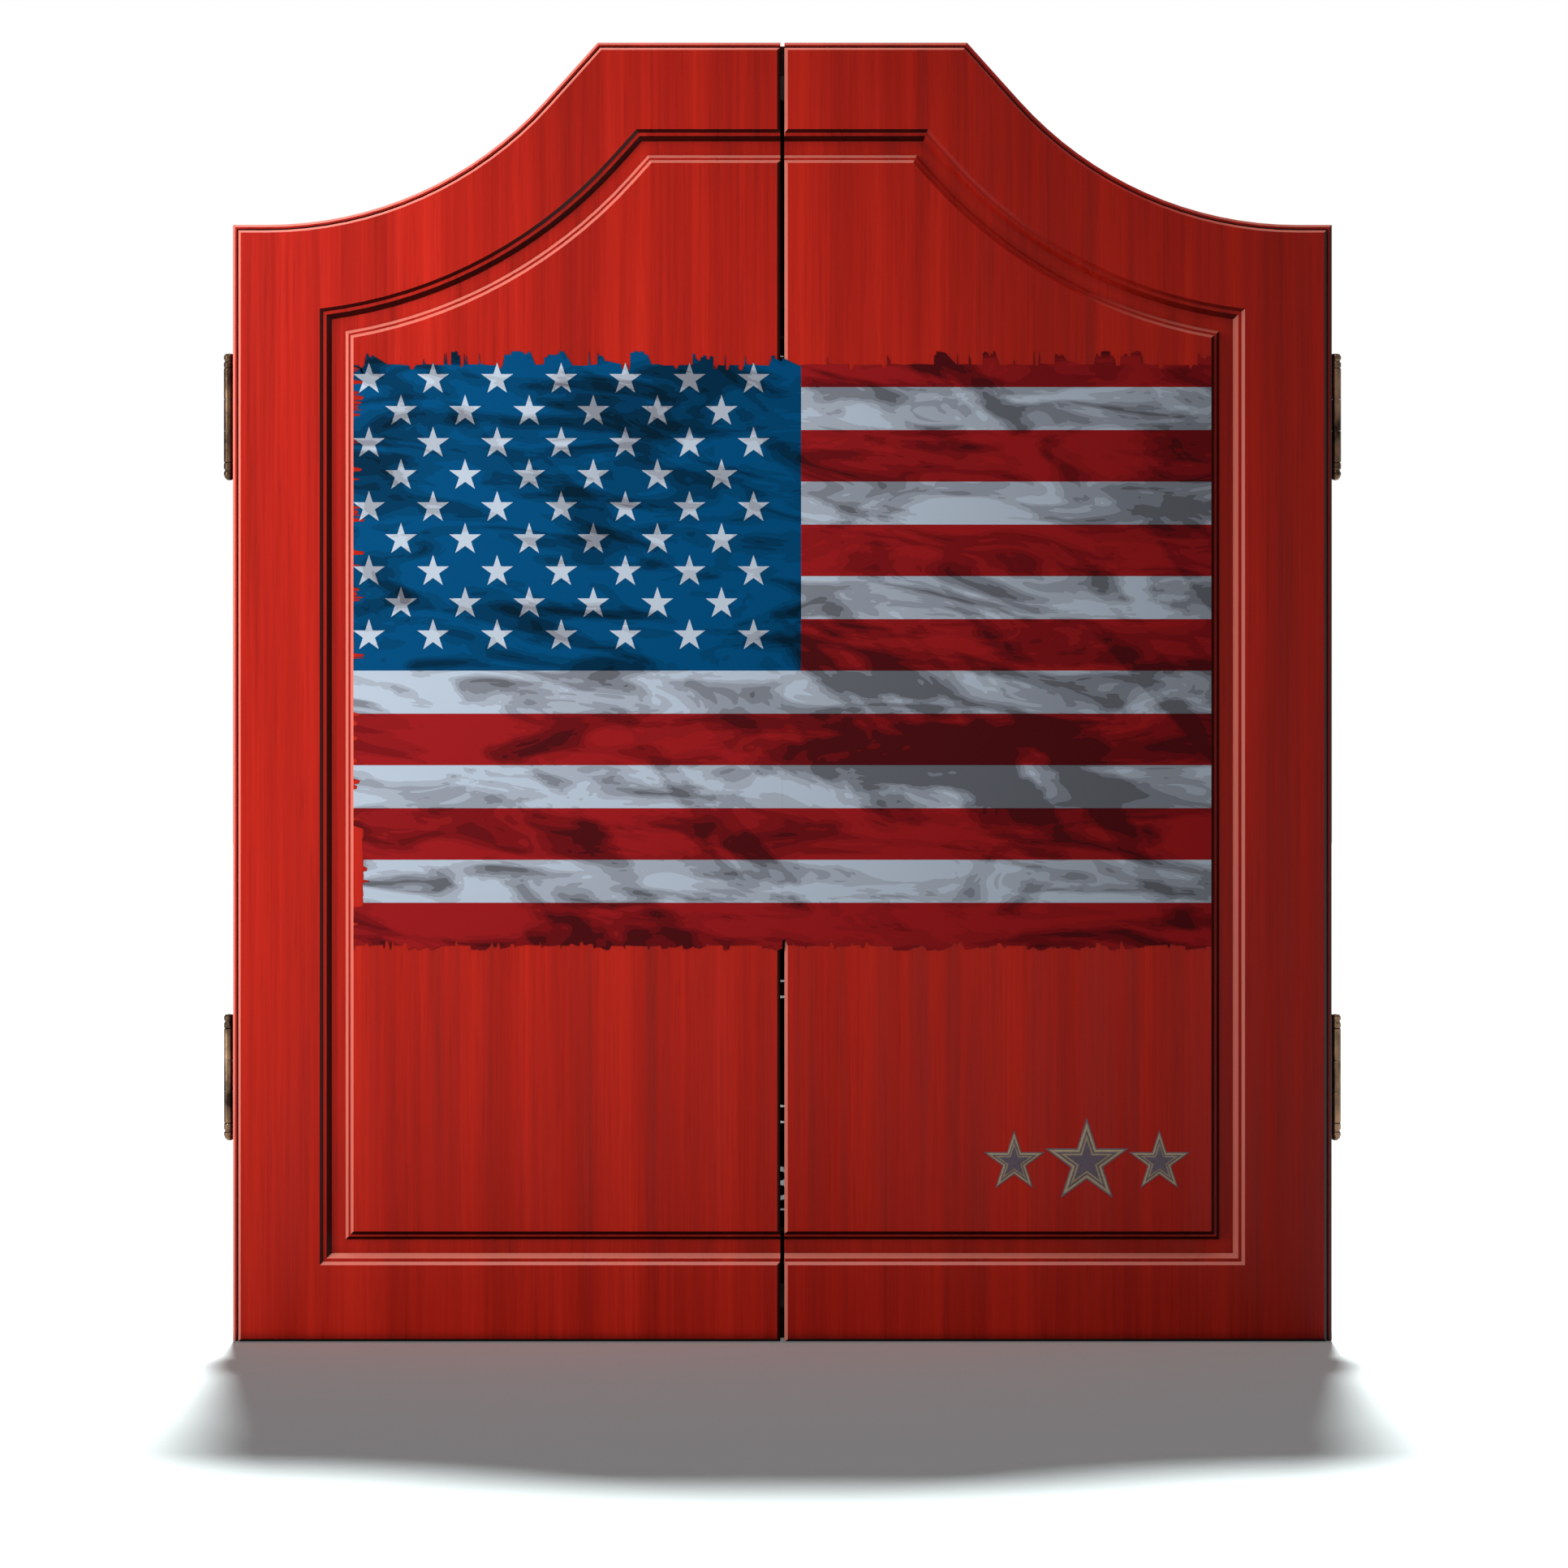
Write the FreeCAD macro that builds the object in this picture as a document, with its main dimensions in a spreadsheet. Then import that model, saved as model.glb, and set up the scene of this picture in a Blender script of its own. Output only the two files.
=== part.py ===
import FreeCAD, Part
import math
import os
import re

import Sketcher

# Wall cabinet for a bristle dartboard, with two doors under a crown-shaped top.
# +X is to the viewer's right, +Y into the wall and +Z up. The origin lies on the wall, level with
# the bull's-eye, on the cabinet's centre line. Heights in this script are above the underside.

# Driving dimensions in millimetres, or degrees where the name says angle.
SIZES = {
    # dartboard and the room around it
    "board_diameter": 451,
    "board_thickness": 38,
    "backer_thickness": 12,
    "band_thickness": 1.4,
    "band_fit": 0.1,
    "board_side_room": 32.5,
    "board_low_room": 36.5,
    "board_high_room": 36.9,
    "front_room": 2.1026,
    # wire frame and number ring on the board
    "wire_size": 1.2,
    "double_radius": 170,
    "treble_radius": 107,
    "outer_bull_radius": 15.9,
    "inner_bull_radius": 6.35,
    "score_band": 8,
    "number_hoop_inset": 10,
    "number_hoop_width": 2,
    "number_depth": 1.5,
    "digit_width": 8,
    "digit_height": 15,
    "digit_gap": 2.5,
    "digit_stroke": 1.6,
    # box
    "wall_thickness": 15,
    "back_thickness": 5,
    "backing_thickness": 3,
    "upper_rail_height": 20,
    "lower_rail_height": 30,
    "rail_thickness": 12,
    "stud_spacing": 406.4,
    "wall_hole_radius": 2.75,
    # crown outline
    "shoulder_flat": 17.2,
    "scallop_radius": 185.3,
    "crown_rise": 90.6,
    "crown_angle": 48,
    # doors
    "door_air": 1,
    "door_thickness": 15,
    "centre_gap": 2,
    "centre_chamfer": 1.6,
    "ledge_width": 3,
    "ledge_depth": 2.5,
    "quirk_width": 0.8,
    "quirk_depth": 1,
    "edge_bevel": 1.2,
    "foot_offset": 5.6,
    "moulding_inset": 43.5,
    "upper_slope": 1.6,
    "step_flat": 1.6,
    "lower_slope": 2.4,
    "band_width": 6.9,
    "bead_slope": 1.5,
    "bead_flat": 1.1,
    "field_slope": 1.6,
    "step_depth": 1.4,
    "bead_depth": 2.2,
    "sunk_depth": 4,
    # hinges
    "hinge_low_height": 131,
    "hinge_drop": 93.8,
    "hinge_length": 46.8,
    "leaf_width": 16.5,
    "leaf_thickness": 1.2,
    "leaf_fit": 0.1,
    "knuckle_radius": 2.9,
    "knuckle_gap": 0.15,
    "pin_radius": 1.25,
    "pin_clearance": 0.05,
    "top_cap_height": 4.2,
    "top_bead_height": 3.4,
    "low_cap_height": 5.3,
    "low_bead_height": 3.9,
    "cap_groove": 0.5,
    "hinge_screw_pitch": 16,
    # screws and dowels
    "screw_head_radius": 2.9,
    "screw_shank_radius": 1.4,
    "screw_head_depth": 1.2,
    "screw_slot": 0.7,
    "screw_fit": 0.05,
    "long_screw": 19,
    "panel_screw": 15,
    "hinge_screw": 12,
    "bracket_screw": 11,
    "dowel_radius": 3,
    "dowel_reach": 9,
    "dowel_tail": 20,
    "crown_dowel_tail": 6,
    "crown_dowel_reach": 6,
    "dowel_inset": 17,
    # bracket that the dartboard hangs on
    "bracket_half": 30,
    "bracket_foot": 12,
    "bracket_high": 8,
    "bracket_low": 25,
    "bracket_standoff": 2,
    "bracket_plate": 1.5,
    "bracket_air": 0.5,
    "bracket_screw_high": 2,
    "bracket_screw_low": 19,
    "hanger_radius": 2,
    "hanger_gap": 0.2,
    "hanger_head_radius": 4.5,
    "hanger_head_depth": 1.4,
    "hanger_reach": 10,
    # magnetic catches
    "catch_half": 22,
    "catch_depth": 14,
    "catch_height": 12,
    "magnet_side": 6,
    "magnet_width": 12,
    "magnet_depth": 4,
    "magnet_fit": 0.05,
    "magnet_lip": 2,
    "catch_screw_side": 12,
    "catch_screw_depth": 9,
    "strike_thickness": 0.8,
    "bumper_radius": 4,
    "bumper_thickness": 0.8,
    "bumper_height": 24,
    # scoreboards on the doors
    "score_side": 38,
    "score_low": 240,
    "score_drop": 24,
    "score_bar": 14,
    "score_lip": 5,
    "score_frame_depth": 9,
    "score_panel_depth": 3,
    "score_fit": 0.2,
    # dart racks and darts
    "rack_side": 80,
    "rack_low": 80,
    "rack_shelf": 12,
    "rack_plate_height": 30,
    "rack_plate_depth": 5,
    "rack_depth": 18,
    "rack_hole_radius": 1.6,
    "dart_pitch": 40,
    "dart_standoff": 1.3026,
    "dart_seat_gap": 0.1,
    "dart_point_length": 48,
    "dart_point_radius": 1.1,
    "dart_barrel_length": 50,
    "dart_barrel_radius": 3.5,
    "dart_shaft_radius": 2.2,
    "dart_shaft_length": 8,
    "flight_length": 35,
    "flight_half": 12,
    "flight_thickness": 0.6,
    # prints on the door fronts
    "print_thickness": 0.25,
    "print_low": 193.7,
    "print_high": 491.6,
    "star_middle": 151,
    "star_height": 89,
    "star_pitch": 36,
    "star_radius": 22,
    "small_star_radius": 16,
    "star_thickness": 0.4,
}

# Places worked out from the driving dimensions.
PLACES = {
    "board_radius": "board_diameter / 2",
    "inner_half": "board_radius + board_side_room",
    "cab_half": "inner_half + wall_thickness",
    "bull_height": "wall_thickness + board_low_room + board_radius",
    "shoulder_height": "bull_height + board_radius + board_high_room + wall_thickness",
    "crown_height": "shoulder_height + crown_rise",
    "side_top": "shoulder_height - wall_thickness",
    "top_inner": "crown_height - wall_thickness",
    "scallop_x": "cab_half - shoulder_flat",
    "scallop_z": "shoulder_height + scallop_radius",
    # depths, from the wall towards the viewer
    "back_face": "0 - back_thickness",
    "backing_face": "back_face - backing_thickness",
    "bracket_back": "backing_face - bracket_standoff",
    "bracket_face": "bracket_back - bracket_plate",
    "board_back": "bracket_face - bracket_air",
    "board_face": "board_back - board_thickness",
    "wire_face": "board_face - wire_size",
    "flight_reach": "(flight_half + flight_thickness / 2) * cos(45)",
    "door_room": "max(rack_depth; dart_standoff + 2 * flight_reach) + front_room",
    "door_back": "wire_face - door_room",
    "box_front": "door_back + door_air",
    "door_front": "door_back - door_thickness",
    "rail_face": "back_face - rail_thickness",
    "upper_rail_low": "side_top - upper_rail_height",
    "lower_rail_top": "wall_thickness + lower_rail_height",
    # door moulding, as distances in from the outline
    "bevel_inset": "ledge_width + edge_bevel",
    "step_inset": "moulding_inset + upper_slope",
    "drop_inset": "step_inset + step_flat",
    "sunk_inset": "drop_inset + lower_slope",
    "bead_inset": "sunk_inset + band_width",
    "bead_top_inset": "bead_inset + bead_slope",
    "field_foot_inset": "bead_top_inset + bead_flat",
    "field_inset": "field_foot_inset + field_slope",
    "field_half": "cab_half - field_inset",
    # hinge axis and leaves
    "axis_x": "cab_half + knuckle_radius + knuckle_gap",
    "axis_y": "(box_front + door_back) / 2",
    "leaf_inner": "axis_x - leaf_width",
    "leaf_screw_x": "cab_half - wall_thickness / 2",
    "knuckle_height": "(hinge_length - 2 * knuckle_gap) / 3",
    # scoreboards and racks
    "score_outer": "cab_half - score_side",
    "score_top": "shoulder_height - score_drop",
    "rack_end": "rack_side + 3 * dart_pitch",
    "rack_top": "rack_low + rack_shelf",
    "dart_y": "door_back + dart_standoff + flight_reach",
    "dart_seat": "rack_top + dart_seat_gap",
    # dartboard
    "core_radius": "board_radius - band_thickness - band_fit",
    "hoop_radius": "board_radius - number_hoop_inset",
}

DIAL = (20, 1, 18, 4, 13, 6, 10, 15, 2, 17, 3, 19, 7, 16, 8, 11, 14, 9, 12, 5)
# Strokes that make up each digit: top, upper right, lower right, foot, lower left, upper left, middle.
STROKES = {
    "0": "abcdef",
    "1": "bc",
    "2": "abged",
    "3": "abgcd",
    "4": "fgbc",
    "5": "afgcd",
    "6": "afgedc",
    "7": "abc",
    "8": "abcdefg",
    "9": "abcdfg",
}
WAYS = {
    "up": (FreeCAD.Vector(1, 0, 0), 0),
    "down": (FreeCAD.Vector(1, 0, 0), 180),
    "front": (FreeCAD.Vector(1, 0, 0), 90),
    "back": (FreeCAD.Vector(1, 0, 0), -90),
    "right": (FreeCAD.Vector(0, 1, 0), 90),
    "left": (FreeCAD.Vector(0, 1, 0), -90),
}
UPRIGHT = FreeCAD.Rotation(FreeCAD.Vector(1, 0, 0), 90)

doc = FreeCAD.newDocument("DartboardCabinet")
sheet = doc.addObject("Spreadsheet::Sheet", "Dims")
nodes = {}


def fill_sheet():
    """Writes each driving dimension into a cell of its own and gives the cell its name."""
    for row, (name, size) in enumerate(SIZES.items(), 1):
        sheet.set(f"A{row}", name)
        sheet.set(f"B{row}", str(size))
        sheet.setAlias(f"B{row}", name)
    doc.recompute()


def cell(text):
    """The expression with each place spelled out and each dimension read from the sheet."""

    def spell(match):
        word = match.group()
        if word in PLACES:
            return "(" + cell(PLACES[word]) + ")"
        return "Dims." + word if word in SIZES else word

    return re.sub(r"[a-z][a-z_]+", spell, str(text))


def value(text):
    return float(sheet.evalExpression(cell(text)))


def bind(item, **sizes):
    for name, text in sizes.items():
        item.setExpression(name, cell(text))
    return item


def place(item, x, y, height):
    for axis, text in zip("xyz", (x, y, f"{height} - bull_height")):
        item.setExpression("Placement.Base." + axis, cell(text))
    return item


def turn(item, way):
    axis, angle = WAYS[way]
    item.Placement.Rotation = FreeCAD.Rotation(axis, angle)
    return item


def box(name, x, y, height):
    """A block between two sides x, from its back to its front y and between two heights."""
    item = doc.addObject("Part::Box", name)
    bind(item, Length=f"({x[1]}) - ({x[0]})")
    bind(item, Width=f"({y[0]}) - ({y[1]})")
    bind(item, Height=f"({height[1]}) - ({height[0]})")
    return place(item, x[0], y[1], height[0])


def rod(name, radius, length, spot, way):
    item = turn(doc.addObject("Part::Cylinder", name), way)
    return place(bind(item, Radius=radius, Height=length), *spot)


def cone(name, radius, end_radius, length, spot, way):
    item = turn(doc.addObject("Part::Cone", name), way)
    return place(bind(item, Radius1=radius, Radius2=end_radius, Height=length), *spot)


def fuse(name, items):
    item = doc.addObject("Part::MultiFuse", name)
    item.Shapes = items
    item.Refine = True
    return item


def group(name, items):
    item = doc.addObject("Part::Compound", name)
    item.Links = items
    return item


def cut(name, base, *tools):
    """The base with each tool taken out of it in turn."""
    for count, tool in enumerate(tools, 1):
        last = count == len(tools)
        item = doc.addObject("Part::Cut", name if last else f"{name}_cut_{count}")
        item.Base = base
        item.Tool = tool
        base = item
    return base


def shared(name, first, second):
    item = doc.addObject("Part::Common", name)
    item.Base = first
    item.Tool = second
    return item


def mirror(name, source):
    """The same piece on the other side of the centre line."""
    item = doc.addObject("Part::Mirroring", name)
    item.Source = source
    item.Normal = (1, 0, 0)
    return item


def keep(name, item):
    item.Label = name
    nodes[name] = item
    return item


def keep_pair(name, item):
    """Keeps a right-hand piece and its left-hand twin."""
    return keep(name + "_right", item), keep(name + "_left", mirror(name + "_left", item))


def closed_sketch(name, corners, arcs=None):
    """A closed sketch through the corners, each held at its place. An arc runs clockwise from its corner
    to the next, about the centre and with the radius that arcs gives for it."""
    arcs = arcs or {}
    sketch = doc.addObject("Sketcher::SketchObject", name)
    points = [FreeCAD.Vector(value(x), value(y), 0) for x, y in corners]
    following = points[1:] + points[:1]
    for index, (start, end) in enumerate(zip(points, following)):
        if index in arcs:
            centre = FreeCAD.Vector(value(arcs[index][0]), value(arcs[index][1]), 0)
            circle = Part.Circle(centre, FreeCAD.Vector(0, 0, 1), value(arcs[index][2]))
            angles = [math.atan2(p.y - centre.y, p.x - centre.x) for p in (end, start)]
            sketch.addGeometry(Part.ArcOfCircle(circle, *angles), False)
        else:
            sketch.addGeometry(Part.LineSegment(start, end), False)
    for index, corner in enumerate(corners):
        after = (index + 1) % len(corners)
        first, last = (2, 1) if index in arcs else (1, 2)
        joined = 2 if after in arcs else 1
        sketch.addConstraint(Sketcher.Constraint("Coincident", index, last, after, joined))
        for kind, text, size in zip(("DistanceX", "DistanceY"), corner, points[index]):
            hold(sketch, Sketcher.Constraint(kind, -1, 1, index, first, size), f"{kind}{index}", text)
        if index in arcs:
            radius = arcs[index][2]
            limit = Sketcher.Constraint("Radius", index, value(radius))
            hold(sketch, limit, f"Radius{index}", radius)
    return sketch


def hold(sketch, constraint, name, text):
    number = sketch.addConstraint(constraint)
    sketch.renameConstraint(number, name)
    sketch.setExpression("Constraints." + name, cell(text))


def facing(sketch, depth):
    """Stands a sketch upright at a depth, facing the viewer, with its heights above the underside."""
    sketch.Placement.Rotation = UPRIGHT
    return place(sketch, "0", depth, "0")


def extrude(name, sketch, length):
    item = doc.addObject("Part::Extrusion", name)
    item.Base = sketch
    item.DirMode = "Normal"
    item.Solid = True
    return bind(item, LengthFwd=length)


def loft(name, first, second):
    item = doc.addObject("Part::Loft", name)
    item.Sections = [first, second]
    item.Ruled = True
    item.Solid = True
    return item


def turned(name, profile, spot):
    """A turned piece with an upright axis at the spot; the profile gives radius and height."""
    sketch = closed_sketch(name + "_profile", profile)
    sketch.Placement.Rotation = UPRIGHT
    item = doc.addObject("Part::Revolution", name)
    item.Source = sketch
    item.Axis = (0, 0, 1)
    item.Angle = 360
    item.Solid = True
    return place(item, *spot)


def crown_outline(name, inset, rise, depth):
    """The cabinet's outline, moved in at its sides and top by the inset and up at its foot by the rise.
    Each shoulder is flat, then a hollow arc climbs to a straight slope that meets the flat crown."""
    half = f"(cab_half - ({inset}))"
    radius = f"(scallop_radius + ({inset}))"
    slope_x = f"(scallop_x - {radius} * sin(crown_angle))"
    slope_z = f"(scallop_z - {radius} * cos(crown_angle))"
    top = f"(crown_height - ({inset}))"
    top_x = f"({slope_x} - ({top} - {slope_z}) * cos(crown_angle) / sin(crown_angle))"
    if value(inset) < value("shoulder_flat"):
        level = f"(shoulder_height - ({inset}))"
        shoulder = [(half, level), ("scallop_x", level)]
    else:
        level = f"(scallop_z - sqrt({radius}^2 - ({half} - scallop_x)^2))"
        shoulder = [(half, level)]
    right = [(half, rise), *shoulder, (slope_x, slope_z), (top_x, top)]
    left = [("0 - " + x, z) for x, z in reversed(right)]
    arcs = {
        len(right) - 3: ("scallop_x", "scallop_z", radius),
        len(right) + 1: ("0 - scallop_x", "scallop_z", radius),
    }
    return facing(closed_sketch(name, right + left, arcs), depth)


def screw(name, spot, way, length, fit="0"):
    """A countersunk wood screw, or with a fit the hole that takes it."""
    head_radius, shank_radius = f"screw_head_radius + {fit}", f"screw_shank_radius + {fit}"
    head = cone(name + "_head", head_radius, shank_radius, "screw_head_depth", spot, way)
    shank = rod(name + "_shank", shank_radius, f"{length} + {fit}", spot, way)
    return fuse(name, [head, shank])


def screws_and_holes(name, places):
    """Screws at the places, each a spot, a way and a length, and the holes that take them."""
    screws = [screw(f"{name}_{i}", *p) for i, p in enumerate(places)]
    holes = [screw(f"{name}_hole_{i}", *p, fit="screw_fit") for i, p in enumerate(places)]
    return screws, holes


def both_sides(name, items):
    """The items and their mirror images, as one group of separate solids."""
    half = group(name + "_half", items)
    return group(name, [half, mirror(name + "_twin", half)])


def hinge_height(level):
    return "hinge_low_height" if level == "lower" else "(shoulder_height - hinge_drop)"


def knuckle_span(height, index, spare="0"):
    """Foot and length of one of a hinge's three knuckles, counted from its foot."""
    foot = f"{height} - hinge_length / 2 + {index} * (knuckle_height + knuckle_gap) - {spare}"
    return foot, f"knuckle_height + 2 * {spare}"


def leaf(name, height, y, own, others):
    """One hinge leaf with its own knuckles, cut away around the other leaf's knuckles and the pin."""
    low = f"{height} - hinge_length / 2"
    plate = box(name + "_plate", ("leaf_inner", "axis_x"), y, (low, low + " + hinge_length"))
    solids = [plate]
    for index in own:
        foot, length = knuckle_span(height, index)
        spot = ("axis_x", "axis_y", foot)
        solids.append(rod(f"{name}_knuckle_{index}", "knuckle_radius", length, spot, "up"))
    gaps = []
    for index in others:
        foot, length = knuckle_span(height, index, "knuckle_gap")
        spot = ("axis_x", "axis_y", foot)
        radius = "knuckle_radius + knuckle_gap"
        gaps.append(rod(f"{name}_relief_{index}", radius, length, spot, "up"))
    bore = rod(name + "_bore", "pin_radius + pin_clearance", "hinge_length", ("axis_x", "axis_y", low), "up")
    return cut(name + "_leaf", fuse(name + "_blank", solids), fuse(name + "_reliefs", gaps + [bore]))


def hinge_pin(name, height):
    """A pin with a turned bead and cap at each end, which sit on the outer knuckles."""
    top, low = "hinge_length", "0"
    bead_low, cap_low = "0 - low_bead_height", "0 - low_bead_height - low_cap_height"
    bead_top, cap_top = "hinge_length + top_bead_height", "hinge_length + top_bead_height + top_cap_height"
    full, neck, shaft = "knuckle_radius", "knuckle_radius - cap_groove", "pin_radius"
    profile = [
        ("0", cap_low),
        ("knuckle_radius * 0.45", f"{cap_low} + 0.35"),
        ("knuckle_radius * 0.8", f"{cap_low} + 1.3"),
        (full, f"{cap_low} + 2.8"),
        (full, f"{bead_low} - 1.2"),
        (neck, f"{bead_low} - 0.4"),
        (neck, bead_low),
        (full, f"{bead_low} + 0.7"),
        (full, f"{low} - 0.7"),
        (neck, low),
        (shaft, low),
        (shaft, top),
        (neck, top),
        (full, f"{top} + 0.7"),
        (full, f"{bead_top} - 0.7"),
        (neck, bead_top),
        (neck, f"{bead_top} + 0.4"),
        (full, f"{bead_top} + 1.2"),
        (full, f"{cap_top} - 1.6"),
        ("knuckle_radius * 0.75", f"{cap_top} - 0.4"),
        ("0", cap_top),
    ]
    return turned(name, profile, ("axis_x", "axis_y", f"{height} - hinge_length / 2"))


def hinges():
    """Butt hinges on both sides. Returns the mortises and screw holes for the box and for the door."""
    tools = {"box": [], "door": []}
    pins, screws = [], {"box": [], "door": []}
    sides = {
        "box": ("box_front + leaf_thickness", "box_front", (0, 2), (1,), "back"),
        "door": ("door_back", "door_back - leaf_thickness", (1,), (0, 2), "front"),
    }
    for level in ("lower", "upper"):
        height = hinge_height(level)
        pins.append(hinge_pin(f"pin_{level}", height))
        for owner, (back, front, own, others, way) in sides.items():
            name = f"{owner}_{level}"
            low = f"{height} - hinge_length / 2 - leaf_fit"
            span = (low, f"{low} + hinge_length + 2 * leaf_fit")
            x = ("leaf_inner - leaf_fit", "cab_half + leaf_width")
            mortise = box(name + "_mortise", x, (back, front), span)
            surface = front if owner == "box" else back
            places = [
                (("leaf_screw_x", surface, f"{height} + {step} * hinge_screw_pitch"), way, "hinge_screw")
                for step in (-1, 0, 1)
            ]
            made, holes = screws_and_holes(name + "_screw", places)
            tools[owner] += [mortise, *holes]
            screws[owner] += made
            whole = leaf(name, height, (back, front), own, others)
            drilled = cut(name + "_drilled", whole, group(name + "_holes", holes))
            keep_pair(f"{owner}_hinge_leaf_{level}", drilled)
    keep_pair("hinge_pins", group("hinge_pins_right", pins))
    keep("box_hinge_screws", both_sides("box_hinge_screws", screws["box"]))
    return tools, screws["door"]


def dowels():
    """Dowels at the box's corners on the right, and the holes that take them. Two to a joint."""
    pegs, holes = [], []
    crown_x = "(cab_half - shoulder_flat - (scallop_radius + wall_thickness) * sin(crown_angle))"
    slope_z = "(scallop_z - (scallop_radius + wall_thickness) * cos(crown_angle))"
    inner_x = f"({crown_x} - (top_inner - {slope_z}) * cos(crown_angle) / sin(crown_angle))"
    middle_x = f"{inner_x} + wall_thickness / sin(crown_angle) / 2"
    full, short = "dowel_tail + dowel_reach", "crown_dowel_tail + crown_dowel_reach"
    joints = {
        "foot": ("inner_half - dowel_tail", "wall_thickness / 2", "right", full),
        "shoulder": ("leaf_screw_x", "side_top - dowel_tail", "up", full),
        "crown": (middle_x, "top_inner - crown_dowel_tail", "up", short),
    }
    for joint, (x, height, way, length) in joints.items():
        for row, y in enumerate(("back_face - dowel_inset", "box_front + dowel_inset")):
            name = f"dowel_{joint}_{row}"
            pegs.append(rod(name, "dowel_radius", length, (x, y, height), way))
            holes.append(rod(name + "_hole", "dowel_radius + screw_fit", length, (x, y, height), way))
    return pegs, holes


def back_screws():
    """Screws that hold the back panel to the box and to the hanging rails, on the right."""
    arc_x = "scallop_x - (scallop_radius + wall_thickness / 2) * sin(crown_angle / 2)"
    arc_z = "scallop_z - (scallop_radius + wall_thickness / 2) * cos(crown_angle / 2)"
    spots = [
        ("leaf_screw_x", "hinge_low_height / 2"),
        ("leaf_screw_x", "bull_height"),
        ("leaf_screw_x", "side_top - hinge_drop / 2"),
        (arc_x, arc_z),
        ("hinge_drop / 2", "crown_height - wall_thickness / 2"),
        ("inner_half / 2", "wall_thickness / 2"),
        ("inner_half / 3", "side_top - upper_rail_height / 2"),
        ("inner_half / 3", "wall_thickness + lower_rail_height / 2"),
    ]
    return screws_and_holes("back_screw", [((x, "0", z), "front", "panel_screw") for x, z in spots])


def catches():
    """A double magnetic catch under the top panel and another on the bottom panel."""
    levels = {
        "upper": ("top_inner - catch_height", "top_inner - catch_height", "up"),
        "lower": ("wall_thickness", "wall_thickness + catch_height", "down"),
    }
    screws, holes, magnets, housings = [], [], [], {}
    for level, (low, head, way) in levels.items():
        spot = ("catch_screw_side", "box_front + catch_screw_depth", head)
        made, drilled = screws_and_holes(f"catch_{level}", [(spot, way, "long_screw")])
        screws += made
        holes += drilled
        sides = ("magnet_side", "magnet_side + magnet_width")
        depth = ("box_front + magnet_depth", "box_front")
        span = (f"{low} + magnet_lip", f"{low} + catch_height - magnet_lip")
        fitted = tuple(
            (f"{a} + {sign} * magnet_fit", f"{b} - {sign} * magnet_fit")
            for (a, b), sign in ((sides, 1), (span, 1))
        )
        magnets.append(box(f"magnet_{level}", fitted[0], depth, fitted[1]))
        pocket = box(f"pocket_{level}", sides, depth, span)
        size = (("0 - catch_half", "catch_half"), ("box_front + catch_depth", "box_front"))
        block = box(f"catch_block_{level}", *size, (low, f"{low} + catch_height"))
        housings[level] = cut(f"{level}_catch_open", block, both_sides(f"pockets_{level}", [pocket]))
    keep("catch_magnets", both_sides("catch_magnets", magnets))
    keep("catch_screws", both_sides("catch_screws", screws))
    return housings, holes


def bracket():
    """Slotted steel plate on two feet that the dartboard's hanger screw drops into."""
    low, high = "bull_height - bracket_low", "bull_height + bracket_high"
    y = ("bracket_back", "bracket_face")
    plate = box("bracket_front", ("0 - bracket_half", "bracket_half"), y, (low, high))
    foot = ("bracket_half - bracket_foot", "bracket_half")
    feet = [box("bracket_foot", foot, ("backing_face", "bracket_back"), (low, high))]
    feet.append(mirror("bracket_foot_twin", feet[0]))
    slot = "hanger_radius + hanger_gap"
    opening = box("slot_run", (f"0 - ({slot})", slot), y, ("bull_height", f"{high} + 1"))
    seat = rod("slot_seat", slot, "bracket_plate", ("0", "bracket_back", "bull_height"), "front")
    blank = cut("bracket_slotted", fuse("bracket_blank", [plate, *feet]), fuse("slot", [opening, seat]))
    x = "bracket_half - bracket_foot / 2"
    heights = ("bull_height + bracket_screw_high", "bull_height - bracket_screw_low")
    places = [((x, "bracket_face", height), "back", "bracket_screw") for height in heights]
    screws, holes = screws_and_holes("bracket_screw", places)
    holes = both_sides("bracket_holes", holes)
    keep("board_bracket", cut("board_bracket", blank, holes))
    keep("bracket_screws", both_sides("bracket_screws", screws))
    return holes


def hanging_rails(holes):
    """Two rails behind the board that take the wall screws, and the holes for those."""
    spans = {
        "upper": ("upper_rail_low", "side_top"),
        "lower": ("wall_thickness", "lower_rail_top"),
    }
    openings = []
    for level, (low, high) in spans.items():
        middle = f"({low} + {high}) / 2"
        spot = ("stud_spacing / 2", "0", middle)
        length = "back_thickness + rail_thickness"
        openings.append(rod(f"wall_hole_{level}", "wall_hole_radius", length, spot, "front"))
    wall_holes = both_sides("wall_holes", openings)
    for level, span in spans.items():
        x, y = ("0 - inner_half", "inner_half"), ("back_face", "rail_face")
        blank = box(f"{level}_rail_blank", x, y, span)
        keep(f"{level}_hanging_rail", cut(f"{level}_hanging_rail", blank, holes, wall_holes))
    return wall_holes


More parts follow.
